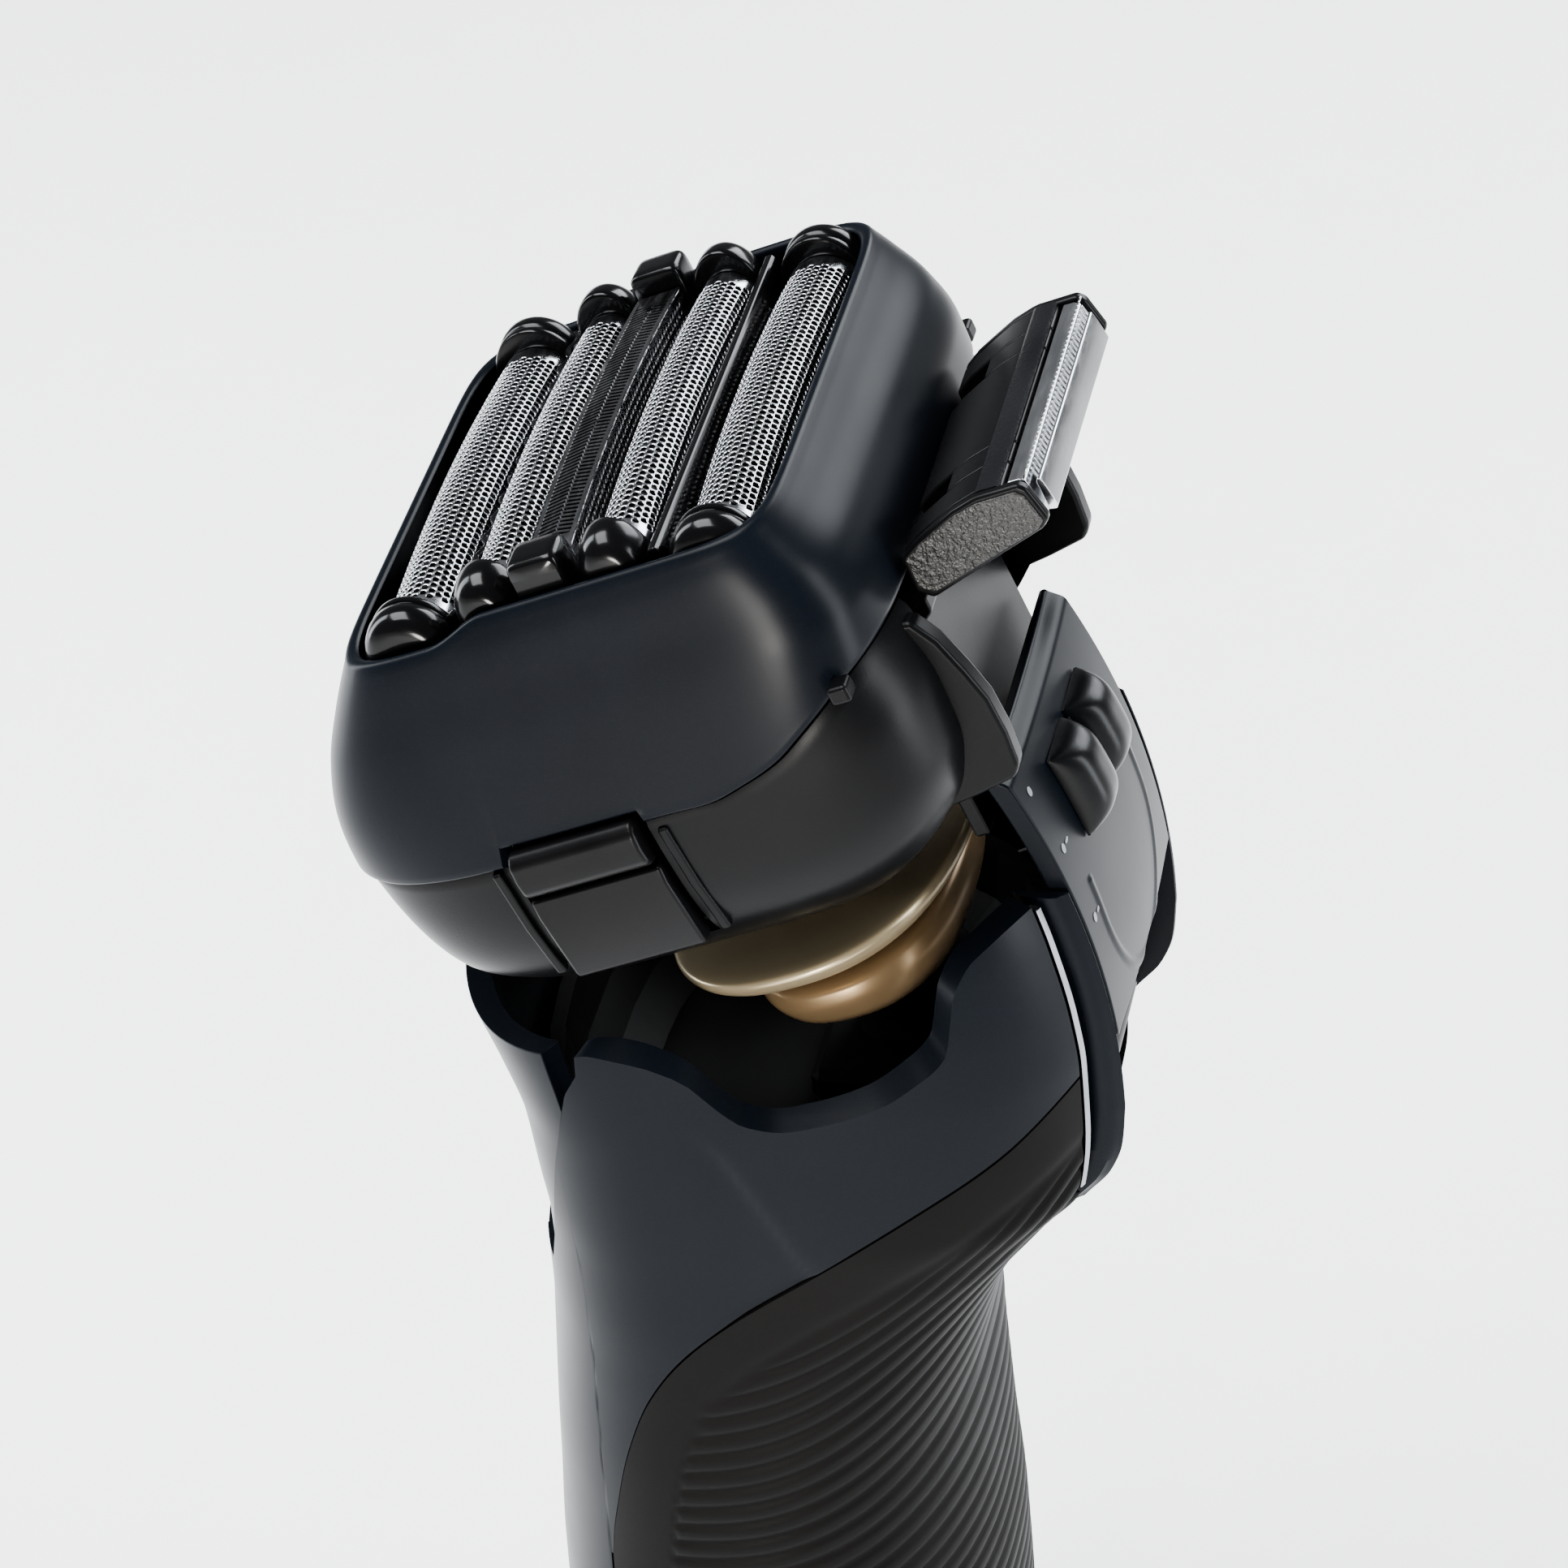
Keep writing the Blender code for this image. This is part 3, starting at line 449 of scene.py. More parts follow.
def case_ring(f, inset, lift=0.0):
    out = []
    a0, bf0, br0 = (smooth_lerp(CASE, f, k) for k in (1, 2, 3))
    for phi in PHIS:
        rear = math.sin(phi) > 0
        ux, uy = squircle(phi, 5.0 if rear else 4.2)
        zt = parting(uy * (24.0 if rear else 31.0)) - GAP
        z = zt + f * (CASE_BOTTOM - zt) + lift
        out.append(head((a0 - inset) * ux, ((br0 if rear else bf0) - inset) * uy, z))
    return out


def cutter(name, spans, place=head):
    bm = bmesh.new()
    for (x0, x1), (y0, y1), (z0, z1) in spans:
        prism_into(bm, [(y0, z0), (y1, z0), (y1, z1), (y0, z1)], x0, x1, place)
    ob = finish(name, bm, "case_black", 0)
    ob.hide_render = True
    ob.hide_viewport = True
    return ob


def carve(ob, cutters):
    bpy.context.view_layer.update()
    for c in cutters:
        m = ob.modifiers.new("cut", 'BOOLEAN')
        m.operation = 'DIFFERENCE'
        m.object = c
    dg = bpy.context.evaluated_depsgraph_get()
    me = bpy.data.meshes.new_from_object(ob.evaluated_get(dg))
    ob.modifiers.clear()
    old = ob.data
    ob.data = me
    me.name = ob.name
    bpy.data.meshes.remove(old)
    for c in cutters:
        bpy.data.objects.remove(c)
    return ob


rings = []
FN = 34
for k in range(FN + 1):
    f = 1.0 - k / FN
    rings.append(case_ring(f, 0.0 if k < FN else 0.2))
for k in range(FN + 1):
    f = k / FN
    rings.append(case_ring(f * 0.96, 1.8, 0.0 if k == 0 else 0.6))
bm = bmesh.new()
loft_into(bm, rings)
case = finish("head_lower_case", bm, "case_black", 45)
wins = [cutter("w%d" % i, [((x0, x1), BTN_Y, BTN_Z)]) for i, (x0, x1) in enumerate(((24.6, 33.0), (-33.0, -24.6)))]
wins.append(cutter("w2", [((-16.9, 16.9), (18.4, 40.0), (-46.0, -10.0))]))
carve(case, wins)
case.data.shade_smooth()
case.data.set_sharp_from_angle(angle=math.radians(38))
part(soften(case, 0.22, 2, 50), "head", "lower_head_case", slot="black_plastic")

WING = ((20.5, -16.2), (24.6, -16.9), (25.9, -19.2), (26.9, -22.5), (27.6, -25.5), (27.7, -29.0),
        (27.4, -32.2), (26.6, -33.2), (23.0, -33.9), (18.0, -34.6), (18.0, -20.0))
wings = prism("head_wings", WING, [(-19.3, -17.05), (17.05, 19.3)], head, "case_black")
part(soften(wings, 0.5, 4, 25), "head", slot="black_plastic")
wall = prism("head_rear_wall", [(16.6, -36.6), (18.1, -36.6), (18.1, -15.9), (16.6, -15.9)], [(-18.2, 18.2)], head, "case_black")
part(soften(wall, 0.3, 2), "head", slot="black_plastic")

# raised welts on both sides of each release button
for s, tag in ((1, "right"), (-1, "left")):
    bm = bmesh.new()
    for y0, y1 in ((-14.2, -13.3), (1.1, 2.0)):
        prism_into(bm, [(s * 27.0, -34.6), (s * 27.9, -34.6), (s * 29.15, -29.0), (s * 29.75, -23.0), (s * 28.2, -22.7), (s * 27.0, -23.2)],
                   y0, y1, lambda y, u, v: head(u, y, v))
    w = finish("button_welts_" + tag, bm, "case_black")
    part(soften(w, 0.28, 3, 25), "head", slot="black_plastic")
    bm = bmesh.new()
    prism_into(bm, [(s * 27.0, -34.8), (s * 28.9, -34.8), (s * 29.2, -34.2), (s * 30.1, -27.8), (s * 29.95, -26.1), (s * 27.0, -26.1)],
               -12.1, -0.1, lambda y, u, v: head(u, y, v))
    b1 = finish("release_pad_" + tag, bm, "button_black")
    bm = bmesh.new()
    prism_into(bm, [(s * 27.0, -26.0), (s * 30.1, -25.7), (s * 30.85, -25.0), (s * 31.05, -23.6), (s * 30.9, -22.1), (s * 30.2, -21.35), (s * 27.0, -21.25)],
               -11.9, -0.3, lambda y, u, v: head(u, y, v))
    b2 = finish("release_ridge_" + tag, bm, "button_black")
    part(soften(b1, 0.35, 4, 25), "release_" + tag, "release_button_" + tag, slot="black_plastic")
    part(soften(b2, 0.45, 4, 25), "release_" + tag, "release_button_" + tag, slot="black_plastic")
    # small latch nubs in the parting line, front and rear
    for yy, zz, x0, x1 in ((-30.3, -22.9, s * 14.0 - 2.2, s * 14.0 + 2.2), (20.6, -16.3, s * 28.0 - 1.1, s * 28.0 + 1.1)):
        nub = prism("latch_nub_%s_%s" % ("front" if yy < 0 else "rear", tag), [(yy - 0.9, zz - 0.7), (yy + 0.9, zz - 0.7), (yy + 0.9, zz + 0.9), (yy - 0.9, zz + 0.9)],
                    [(x0, x1)], head, "case_black")
        part(soften(nub, 0.4, 3, 25), "head", slot="black_plastic")


# ------------------------------------------------------------------ foils
def sheet_mesh(name, verts, faces, mat, smooth=40.0):
    me = bpy.data.meshes.new(name)
    me.from_pydata([tuple(v) for v in verts], [], faces)
    bm = bmesh.new()
    bm.from_mesh(me)
    bpy.data.meshes.remove(me)
    return finish(name, bm, mat, smooth, dist=4e-6, orient=False)


def perf_sheet(name, x_half, band, pitch, rows, q, v_off, place, hole, mat, leg=0.0):
    """Sheet with staggered round holes; u runs along X, v across, both in mm."""
    n = int(round(2 * (x_half - band) / pitch))
    x0 = -n * pitch / 2
    V, F = [], []

    def quad(p):
        k = len(V)
        V.extend(place(u, v) for u, v in p)
        F.append((k, k + 1, k + 2, k + 3))

    def grid(us, vs):
        for ua, ub in zip(us, us[1:]):
            for va, vb in zip(vs, vs[1:]):
                quad(((ua, va), (ub, va), (ub, vb), (ua, vb)))

    h = pitch / 2
    side = [-1, -0.5, 0, 0.5]
    bnd = [(t * h, -q / 2) for t in side] + [(h, t * q / 2) for t in side] + [(-t * h, q / 2) for t in side] + [(-h, -t * q / 2) for t in side]
    cir = []
    for bx, by in bnd:
        a = math.atan2(by / (q / 2), bx / h)
        cir.append((hole * math.cos(a), hole * math.sin(a)))
    for j in range(rows):
        cy = v_off + (j + 0.5) * q
        odd = j % 2
        for i in range(n - odd):
            cx = x0 + (i + 0.5) * pitch + odd * h
            k = len(V)
            V.extend(place(cx + u, cy + v) for u, v in bnd)
            V.extend(place(cx + u, cy + v) for u, v in cir)
            for m in range(16):
                m2 = (m + 1) % 16
                F.append((k + m, k + m2, k + 16 + m2, k + 16 + m))
        if odd:
            vs = [cy + t * q / 2 for t in (-1, -0.5, 0, 0.5, 1)]
            grid([x0, x0 + h / 2, x0 + h], vs)
            grid([-x0 - h, -x0 - h / 2, -x0], vs)
    vs = [v_off + q * t / 4 for t in range(rows * 4 + 1)]
    e = (x_half + x0) / 3
    grid([-x_half, -x_half + e, -x_half + 2 * e, x0], vs)
    grid([-x0, x_half - 2 * e, x_half - e, x_half], vs)
    if leg:
        us = [-x_half, -x_half + e, -x_half + 2 * e] + [x0 + t * pitch / 4 for t in range(4 * n + 1)] + [x_half - 2 * e, x_half - e, x_half]
        grid(us, [vs[0] - leg, vs[0] - leg / 2, vs[0]])
        grid(us, [vs[-1], vs[-1] + leg / 2, vs[-1] + leg])
    return sheet_mesh(name, V, F, mat)


def sag(x):
    return 0.30 - 0.95 * (x / FOIL_HALF) ** 2


def thick(ob, t, offset=-1.0):
    m = ob.modifiers.new("thick", 'SOLIDIFY')
    m.thickness = t * MM
    m.offset = offset
    return ob


SLOT_OF = ("steel", "steel", "dark_steel", "steel", "steel")
NODE_OF = ("outer_foil_1", "outer_foil_2", "slit_comb", "outer_foil_4", "outer_foil_5")
for k in (0, 1, 3, 4):
    cy, top, r = FOIL_Y[k], FOIL_TOP[k], FOIL_R[k]
    zc = top - r

    def on_arch(u, v, cy=cy, zc=zc, r=r):
        w = abs(v)
        if w <= math.pi * r / 2:
            a = v / r
            y, z = cy + r * math.sin(a), zc + r * math.cos(a)
        else:
            y, z = cy + math.copysign(r, v), zc - (w - math.pi * r / 2)
        return head(u, y, z + sag(u))

    q = 0.66
    rows = int((math.pi * r + 2.6) / q)
    rows += rows % 2
    foil = perf_sheet("foil_%d" % (k + 1), FOIL_HALF, 1.75, 0.76, rows, q, -rows * q / 2, on_arch, 0.298, "foil_steel", leg=1.0)
    part(thick(foil, 0.10), "row_%d" % (k + 1), NODE_OF[k], slot="steel")

# slit comb: slanted bars in two lanes between rails, plain end plates, perforated sides
bm = bmesh.new()
PITCH = 0.56


def slab(bm, pts, z1, z0):
    a = [bm.verts.new(head(x, y, z1 + sag(x))) for x, y in pts]
    b = [bm.verts.new(head(x, y, z0 + sag(x))) for x, y in pts]
    n = len(pts)
    bm.faces.new(a)
    bm.faces.new(list(reversed(b)))
    for i in range(n):
        j = (i + 1) % n
        bm.faces.new((a[j], a[i], b[i], b[j]))


nb = int(37.0 / PITCH)
for i in range(nb + 1):
    x = -18.5 + i * 37.0 / nb
    for s in (-1, 1):
        slab(bm, [(x - 0.14, s * 0.05), (x + 0.14, s * 0.05), (x + 0.14 + 0.42, s * 1.62), (x - 0.14 + 0.42, s * 1.62)][::s], -0.2, -0.75)
for s in (-1, 1):
    nseg = 40
    for i in range(nseg):
        xa, xb = -20.9 + 41.8 * i / nseg, -20.9 + 41.8 * (i + 1) / nseg
        slab(bm, [(xa, s * 1.58), (xb, s * 1.58), (xb, s * 1.98), (xa, s * 1.98)][::s], -0.16, -0.8)
        if abs(xa + xb) < 37.5:
            slab(bm, [(xa, -0.09), (xb, -0.09), (xb, 0.09), (xa, 0.09)][::1], -0.3, -0.7) if s > 0 else None
    for i in range(4):
        xa, xb = s * (18.6 + 0.57 * i), s * (18.6 + 0.57 * (i + 1))
        slab(bm, [(xa, -1.6), (xb, -1.6), (xb, 1.6), (xa, 1.6)][::s], -0.2, -0.75)
comb = finish("comb_top", bm, "comb_steel", 30, dist=1e-9)
part(comb, "row_3", "slit_comb", slot="dark_steel")
for s in (-1, 1):
    side = perf_sheet("comb_side_%s" % ("rear" if s > 0 else "front"), 20.9, 1.6, 0.76, 8, 0.66, 0.55,
                      (lambda u, v, s=s: head(u, s * 1.98, -0.1 - v + sag(u))) if s > 0 else (lambda u, v, s=s: head(-u, s * 1.98, -0.1 - v + sag(u))),
                      0.24, "comb_steel", leg=0.4)
    part(thick(side, 0.10), "row_3", "slit_comb", slot="dark_steel")

# lamella stacks under the foils; the steel lamellae get the dark inner-black material instead of steel, painted shade
# so the foil holes read dark
for k in range(5):
    cy, top, r = FOIL_Y[k], FOIL_TOP[k], FOIL_R[k]
    q = r - 0.72
    zc = top - 0.65 - q if k != 2 else 0
    bm = bmesh.new()
    if k == 2:
        prof = [(cy - 1.1, top - 5.8), (cy + 1.1, top - 5.8), (cy + 1.1, top - 1.5), (cy - 1.1, top - 1.5)]
    else:
        prof = [(cy - q, zc - 2.4), (cy + q, zc - 2.4)] + [(cy + q * math.cos(math.pi * j / 12), zc + q * math.sin(math.pi * j / 12)) for j in range(13)]
    for i in range(33):
        x = -19.2 + 38.4 * i / 32
        prism_into(bm, prof, x - 0.12, x + 0.12, lambda x_, y_, z_: head(x_, y_, z_ + sag(x_)))
    prism_into(bm, [(cy - 0.8, zc - 2.9 if k != 2 else top - 5.9), (cy + 0.8, zc - 2.9 if k != 2 else top - 5.9),
                    (cy + 0.8, (zc if k != 2 else top - 3.5)), (cy - 0.8, (zc if k != 2 else top - 3.5))], -19.4, 19.4, head)
    lam = finish("cutter_lamellae_%d" % (k + 1), bm, "inner_black_and_painted_shade", 30)
    part(lam, "cutter_%d" % (k + 1), "inner_cutter_%d" % (k + 1), slot="steel")

# end caps
for k in range(5):
    cy, top, r = FOIL_Y[k], FOIL_TOP[k], FOIL_R[k]
    rc = r + (0.45 if r > 3 else 0.35)
    zc = top + 0.3 - rc
    up = rc + (0.75 if r > 3 else 1.0)
    for s, tag in ((1, "right"), (-1, "left")):
        x0 = FOIL_HALF + GAP - 0.15
        if k in (0, 4):
            prof = [(0.0, 0.93), (0.06, 0.975), (0.2, 0.995), (0.45, 1.0), (0.62, 0.99), (0.7, 0.955), (0.86, 0.95), (0.95, 0.975), (1.1, 1.0),
                    (1.6, 1.01), (2.1, 0.99), (2.5, 0.94), (2.75, 0.87), (2.95, 0.77), (3.05, 0.66), (3.1, 0.5)]
        elif k == 2:
            prof = [(0.0, 0.9), (0.08, 0.96), (0.25, 1.0), (1.0, 1.0), (2.2, 0.99), (2.75, 0.97), (2.98, 0.93), (3.1, 0.86)]
        else:
            prof = [(0.0, 0.92), (0.06, 0.97), (0.2, 1.0), (0.7, 1.0), (1.2, 0.99), (1.7, 0.96), (2.1, 0.91), (2.45, 0.84), (2.75, 0.74), (2.95, 0.62), (3.05, 0.48)]
        rings = []
        for dx, sc in prof:
            ring = []
            n = 40
            for j in range(n + 1):
                ang = math.pi * j / n
                if k == 2:
                    e = 2 / 7.0
                    ring.append((rc * sc * -math.copysign(abs(math.cos(ang)) ** e, math.cos(ang)), up * sc * abs(math.sin(ang)) ** e))
                else:
                    ring.append((-rc * sc * math.cos(ang), up * sc * math.sin(ang)))
            lowz = -3.4 * (0.6 + 0.4 * sc)
            ring += [(rc * sc, lowz * 0.5), (rc * sc * 0.97, lowz * 0.9), (rc * sc * 0.8, lowz), (-rc * sc * 0.8, lowz), (-rc * sc * 0.97, lowz * 0.9), (-rc * sc, lowz * 0.5)]
            rings.append([head(s * (x0 + 1.2 * dx), cy + y, zc + z) for y, z in ring])
        cap = loft("row_cap_%d_%s" % (k + 1, tag), rings, "gloss_black", 40)
        part(cap, "row_%d" % (k + 1), "row_%d_cap_%s" % (k + 1, tag), slot="gloss_black")
        # rounded nose below the cap, where it clips into the frame
        if k in (0, 1, 3, 4):
            bm = bmesh.new()
            w = rc * (1.02 if k in (0, 4) else 0.92)
            rr = []
            for j in range(0, 13):
                a = math.pi * j / 12
                xx, sc = 23.1 - 1.75 * math.cos(a), max(0.05, math.sin(a)) ** 0.7
                rr.append([head(s * xx, cy + w * sc * squircle(2 * math.pi * i / 32, 3.0)[0],
                                zc - 1.9 + 2.2 * sc * squircle(2 * math.pi * i / 32, 3.0)[1]) for i in range(32)])
            loft_into(bm, rr)
            part(finish("row_nose_%d_%s" % (k + 1, tag), bm, "gloss_black", 60), "row_%d" % (k + 1), slot="gloss_black")

bar = prism("divider_bar", [(8.85, -10.5), (8.85, -2.2), (9.25, -1.7), (9.85, -1.7), (10.1, -2.2), (10.1, -10.5)],
            [(-23.6, 23.6)], lambda x, y, z: head(x, y, z), "gloss_black")
part(soften(bar, 0.2, 3, 25), "head", "row_divider_bar", slot="gloss_black")
bm = bmesh.new()
rings = []
for j in range(241):
    x = -22.8 + 45.6 * j / 240
    w = 0.30 * math.cos(math.pi * x / 1.52)
    z1 = -2.6
    rings.append([head(x, -9.3 + dy + w, z) for dy, z in ((-0.35, -10.5), (0.35, -10.5), (0.35, z1 - 0.25), (0.27, z1 - 0.06), (0.1, z1), (-0.1, z1), (-0.27, z1 - 0.06), (-0.35, z1 - 0.25))])
loft_into(bm, rings)
part(finish("divider_wave", bm, "gloss_black", 50), "head", "row_divider_wave", slot="gloss_black")


# ------------------------------------------------------------------ neck
def oval(a, bf, br, z, n=2.4, yc=0.0, count=96):
    out = []
    for i in range(count):
        t = 2 * math.pi * (i + 0.5) / count
        c, s = math.cos(t), math.sin(t)
        out.append(head(a * math.copysign(abs(c) ** (2 / n), c), yc + (br if s > 0 else bf) * math.copysign(abs(s) ** (2 / n), s), z))
    return out


def turned(name, table, mat, n=2.4, yc=0.0, steps=5):
    """Loft through (a, front, rear, z) rows, with curved stations between them."""
    rings = []
    rows = [(i, *r) for i, r in enumerate(table)]
    for i in range((len(table) - 1) * steps + 1):
        v = i / steps
        rings.append(oval(*(smooth_lerp(rows, v, k) for k in (1, 2, 3, 4)), n, yc))
    return loft(name, rings, mat, 50)


disc = turned("neck_plate", ((9.0, 6.4, 6.4, -48.8), (12.5, 8.8, 8.8, -48.5), (16.4, 11.2, 11.2, -48.0), (19.4, 13.2, 13.2, -46.8),
                             (20.3, 13.95, 13.95, -45.9), (20.55, 14.1, 14.1, -45.35), (20.35, 13.95, 13.95, -44.9), (19.6, 13.3, 13.3, -44.7),
                             (17.0, 11.0, 11.0, -44.55), (9.5, 8.0, 8.0, -44.5), (8.2, 7.0, 7.0, -44.2), (7.8, 6.8, 6.8, -43.1)), "gold_paint")
part(disc, "neck_float", "neck_disc", slot="gold")
hub = turned("neck_collar", ((8.0, 4.5, 6.0, -56.1), (11.5, 6.2, 7.4, -55.6), (14.2, 7.6, 8.5, -54.4), (16.2, 9.0, 9.7, -52.7), (17.0, 9.6, 10.2, -50.9),
                             (16.9, 9.5, 10.1, -49.9), (15.8, 8.9, 9.5, -49.2), (9.0, 5.0, 5.0, -48.85)), "bronze_paint", 2.4, 1.0)
part(hub, "neck_float", "neck_hub", slot="bronze")
stem = turned("neck_stem", ((6.6, 6.6, 6.6, -62.6), (6.0, 6.0, 6.0, -61.0), (5.4, 5.4, 5.4, -59.0), (4.8, 4.8, 4.8, -58.1)), "inner_black_and_painted_shade", 2.0, 1.5)
part(stem, "handle", "neck_post", slot="black_plastic")

# ------------------------------------------------------------------ trimmer
FL_MID = [(24.7, -13.2), (26.4, -12.1), (28.4, -11.2), (30.4, -10.35), (32.3, -9.85), (32.9, -9.75), (34.5, -9.75), (34.9, -10.1), (35.0, -13.7), (25.8, -17.4), (24.6, -16.4)]
FL_END = [(24.7, -13.2), (26.4, -12.1), (28.4, -11.2), (30.4, -10.35), (32.3, -9.85), (32.9, -9.75), (36.5, -9.75), (37.1, -10.35), (37.75, -13.4), (36.9, -14.15), (25.8, -17.4), (24.6, -16.4)]
FL_LUG = [(28.7, -11.05), (30.4, -10.35), (32.3, -9.85), (32.9, -9.75), (34.5, -9.75), (34.9, -10.1), (35.0, -13.7), (28.7, -16.3)]
flap = prism("trimmer_body", FL_MID, [(-7.4, 7.4)], head, "flap_black")
part(soften(flap, 0.3, 3, 35), "flap", "trimmer_flap", slot="black_plastic")
for s, tag in ((1, "right"), (-1, "left")):
    p = prism("trimmer_body_" + tag, FL_MID, [(s * 10.6, s * 14.4)], head, "flap_black")
    part(soften(p, 0.3, 3, 35), "flap", slot="black_plastic")
    p = prism("trimmer_bridge_" + tag, FL_LUG, [(s * 7.4, s * 10.6)], head, "flap_black")
    part(soften(p, 0.3, 3, 35), "flap", slot="black_plastic")
    p = prism("trimmer_cheek_" + tag, FL_END, [(s * 14.4, s * 15.5)], head, "flap_black")
    part(soften(p, 0.35, 3, 20), "flap", slot="black_plastic")
    # coarse insert let into the cheek
    cy = sum(q[0] for q in FL_END) / len(FL_END)
    cz = sum(q[1] for q in FL_END) / len(FL_END)
    ins = [(31.0 + (y - 31.0) * 0.93, -13.0 + (z + 13.0) * 0.86) for y, z in FL_END]
    p = prism("trimmer_grain_" + tag, ins, [(s * 15.4, s * 15.72)], head, "flap_coarse")
    part(soften(p, 0.15, 2, 20), "flap", slot="black_plastic")
strip = prism("trimmer_top_grain", [(32.5, -9.95), (32.6, -9.80), (32.9, -9.68), (34.4, -9.68), (34.75, -9.85), (34.75, -10.1), (32.6, -10.1)], [(-14.6, 14.6)], head, "flap_fine")
part(strip, "flap", slot="black_plastic")


def toothed(name, outline, x_half, pitch, tooth, place, mat):
    """Blade: a bar with the outline plus pointed teeth; tooth gives (root, tip, thickness) in (y, z)."""
    bm = bmesh.new()
    prism_into(bm, outline, -x_half, x_half, place)
    (ry, rz), (ty, tz), th, wid = tooth
    n = int(2 * x_half / pitch)
    for i in range(n):
        x = -x_half + (i + 0.5) * 2 * x_half / n
        w, wt = wid / 2, wid * 0.22
        dy, dz = ty - ry, tz - rz
        L = math.hypot(dy, dz)
        ny, nz = -dz / L * th / 2, dy / L * th / 2
        v = [bm.verts.new(place(x + a, y, z)) for a, y, z in (
            (-w, ry + ny, rz + nz), (w, ry + ny, rz + nz), (wt, ty + ny, tz + nz), (-wt, ty + ny, tz + nz),
            (-w, ry - ny, rz - nz), (w, ry - ny, rz - nz), (wt, ty - ny, tz - nz), (-wt, ty - ny, tz - nz))]
        for q in ((0, 1, 2, 3), (7, 6, 5, 4), (1, 0, 4, 5), (2, 1, 5, 6), (3, 2, 6, 7), (0, 3, 7, 4)):
            bm.faces.new([v[k] for k in q])
    return finish(name, bm, mat, 30, dist=1e-9)


fixed = toothed("trimmer_blade_fixed", [(35.15, -14.1), (35.15, -10.25), (35.35, -9.98), (36.3, -10.02), (36.75, -10.3), (36.85, -10.7), (36.85, -14.2)],
                14.05, 0.72, ((36.55, -10.3), (37.15, -9.55), 0.16, 0.46), head, "blade_steel")
part(soften(fixed, 0.06, 2, 40), "flap", "trimmer_fixed_blade", slot="steel")
mov = toothed("trimmer_blade_moving", [(37.2, -13.8), (37.2, -11.1), (37.35, -10.85), (37.6, -10.95), (37.75, -11.3), (38.05, -13.6), (37.8, -13.9)],
              13.2, 0.72, ((37.35, -11.0), (37.2, -9.95), 0.16, 0.44), head, "blade_steel")
part(soften(mov, 0.06, 2, 40), "moving_blade", "trimmer_moving_blade", slot="steel")

CAR = [(18.8, -40.5), (20.2, -40.5), (20.2, -22.5), (24.6, -19.1), (24.6, -17.6), (18.8, -21.2)]
body = prism("trimmer_sled", CAR, [(-14.4, 14.4)], head, "case_black")
part(soften(body, 0.3, 2, 30), "carrier", "trimmer_carrier", slot="black_plastic")
for s in (1, -1):
    lug = [(20.2, -22.5), (26.6, -17.6), (27.2, -16.2), (27.45, -15.0), (27.1, -13.9), (26.5, -13.45), (25.8, -13.5), (25.25, -14.2), (25.2, -15.4), (24.6, -17.2), (20.0, -20.4)]
    p = prism("trimmer_lug_%s" % ("right" if s > 0 else "left"), lug, [(s * 7.95, s * 10.05)], head, "case_black")
    part(soften(p, 0.2, 3, 20), "carrier", slot="black_plastic")
bm = bmesh.new()
rings = [[head(x, 26.2 + rr * math.cos(2 * math.pi * i / 28), -14.6 + rr * math.sin(2 * math.pi * i / 28)) for i in range(28)]
         for x, rr in ((-12.6, 0.55), (-12.4, 0.75), (12.4, 0.75), (12.6, 0.55))]
loft_into(bm, rings)
part(finish("trimmer_axle", bm, "blade_steel"), "carrier", "trimmer_pin", slot="steel")

# ------------------------------------------------------------------ slider panel and knob


def arc_sheet(name, xs, d0, d1, nd, r_out, r_in, mat, smooth=40.0):
    rings = []
    for k in range(nd + 1):
        d = d0 + (d1 - d0) * k / nd
        rings.append([arc(x, d, r_out(x, d)) for x in xs] + [arc(x, d, r_in(x, d)) for x in reversed(xs)])
    return loft(name, rings, mat, smooth)


def panel_out(x, d):
    e = -0.4 * (x / 14.6) ** 2
    e -= 1.1 * step01(28.2, 29.8, d)
    # U-shaped raised line in the lower half
    rx, rd = abs(x), (d - 13.6)
    dist = abs(math.hypot(rx, min(0.0, rd) * 1.15) - 10.2) if d < 17.0 else 9
    return e + 0.16 * max(0.0, 1 - (dist / 0.55) ** 2)


XS = [-14.6 + 29.2 * i / 120 for i in range(121)]
panel = arc_sheet("slider_plate", XS, 5.2, 29.8, 110, panel_out, lambda x, d: -2.2, "paint_blue_black")
part(soften(panel, 0.3, 3, 50), "slider", "slider_panel", slot="blue_black")

# two-lobed knob with a V notch between the lobes, on a sunk base
for s, tag in ((1, "right"), (-1, "left")):
    def knob_out(x, d, s=s):
        u = (abs(x) - 3.8) / 3.3
        v = (d - 22.3) / 3.5
        return 0.3 + 2.7 * max(0.0, 1 - abs(u) ** 3.2) ** 0.6 * max(0.0, 1 - abs(v) ** 4) ** 0.6
    xs = [s * (0.5 + 6.6 * i / 40) for i in range(41)]
    lobe = arc_sheet("slider_lobe_" + tag, xs, 18.8, 25.8, 44, knob_out, lambda x, d: 0.02, "knob_black", 50)
    part(lobe, "slider", "slider_knob", slot="black_plastic")
sad = arc_sheet("slider_saddle", [-1.9 + 3.8 * i / 12 for i in range(13)], 19.4, 25.2, 12, lambda x, d: 0.35 + 0.45 * (abs(x) / 1.9) ** 1.5, lambda x, d: 0.02, "knob_black", 40)
part(sad, "slider", slot="black_plastic")


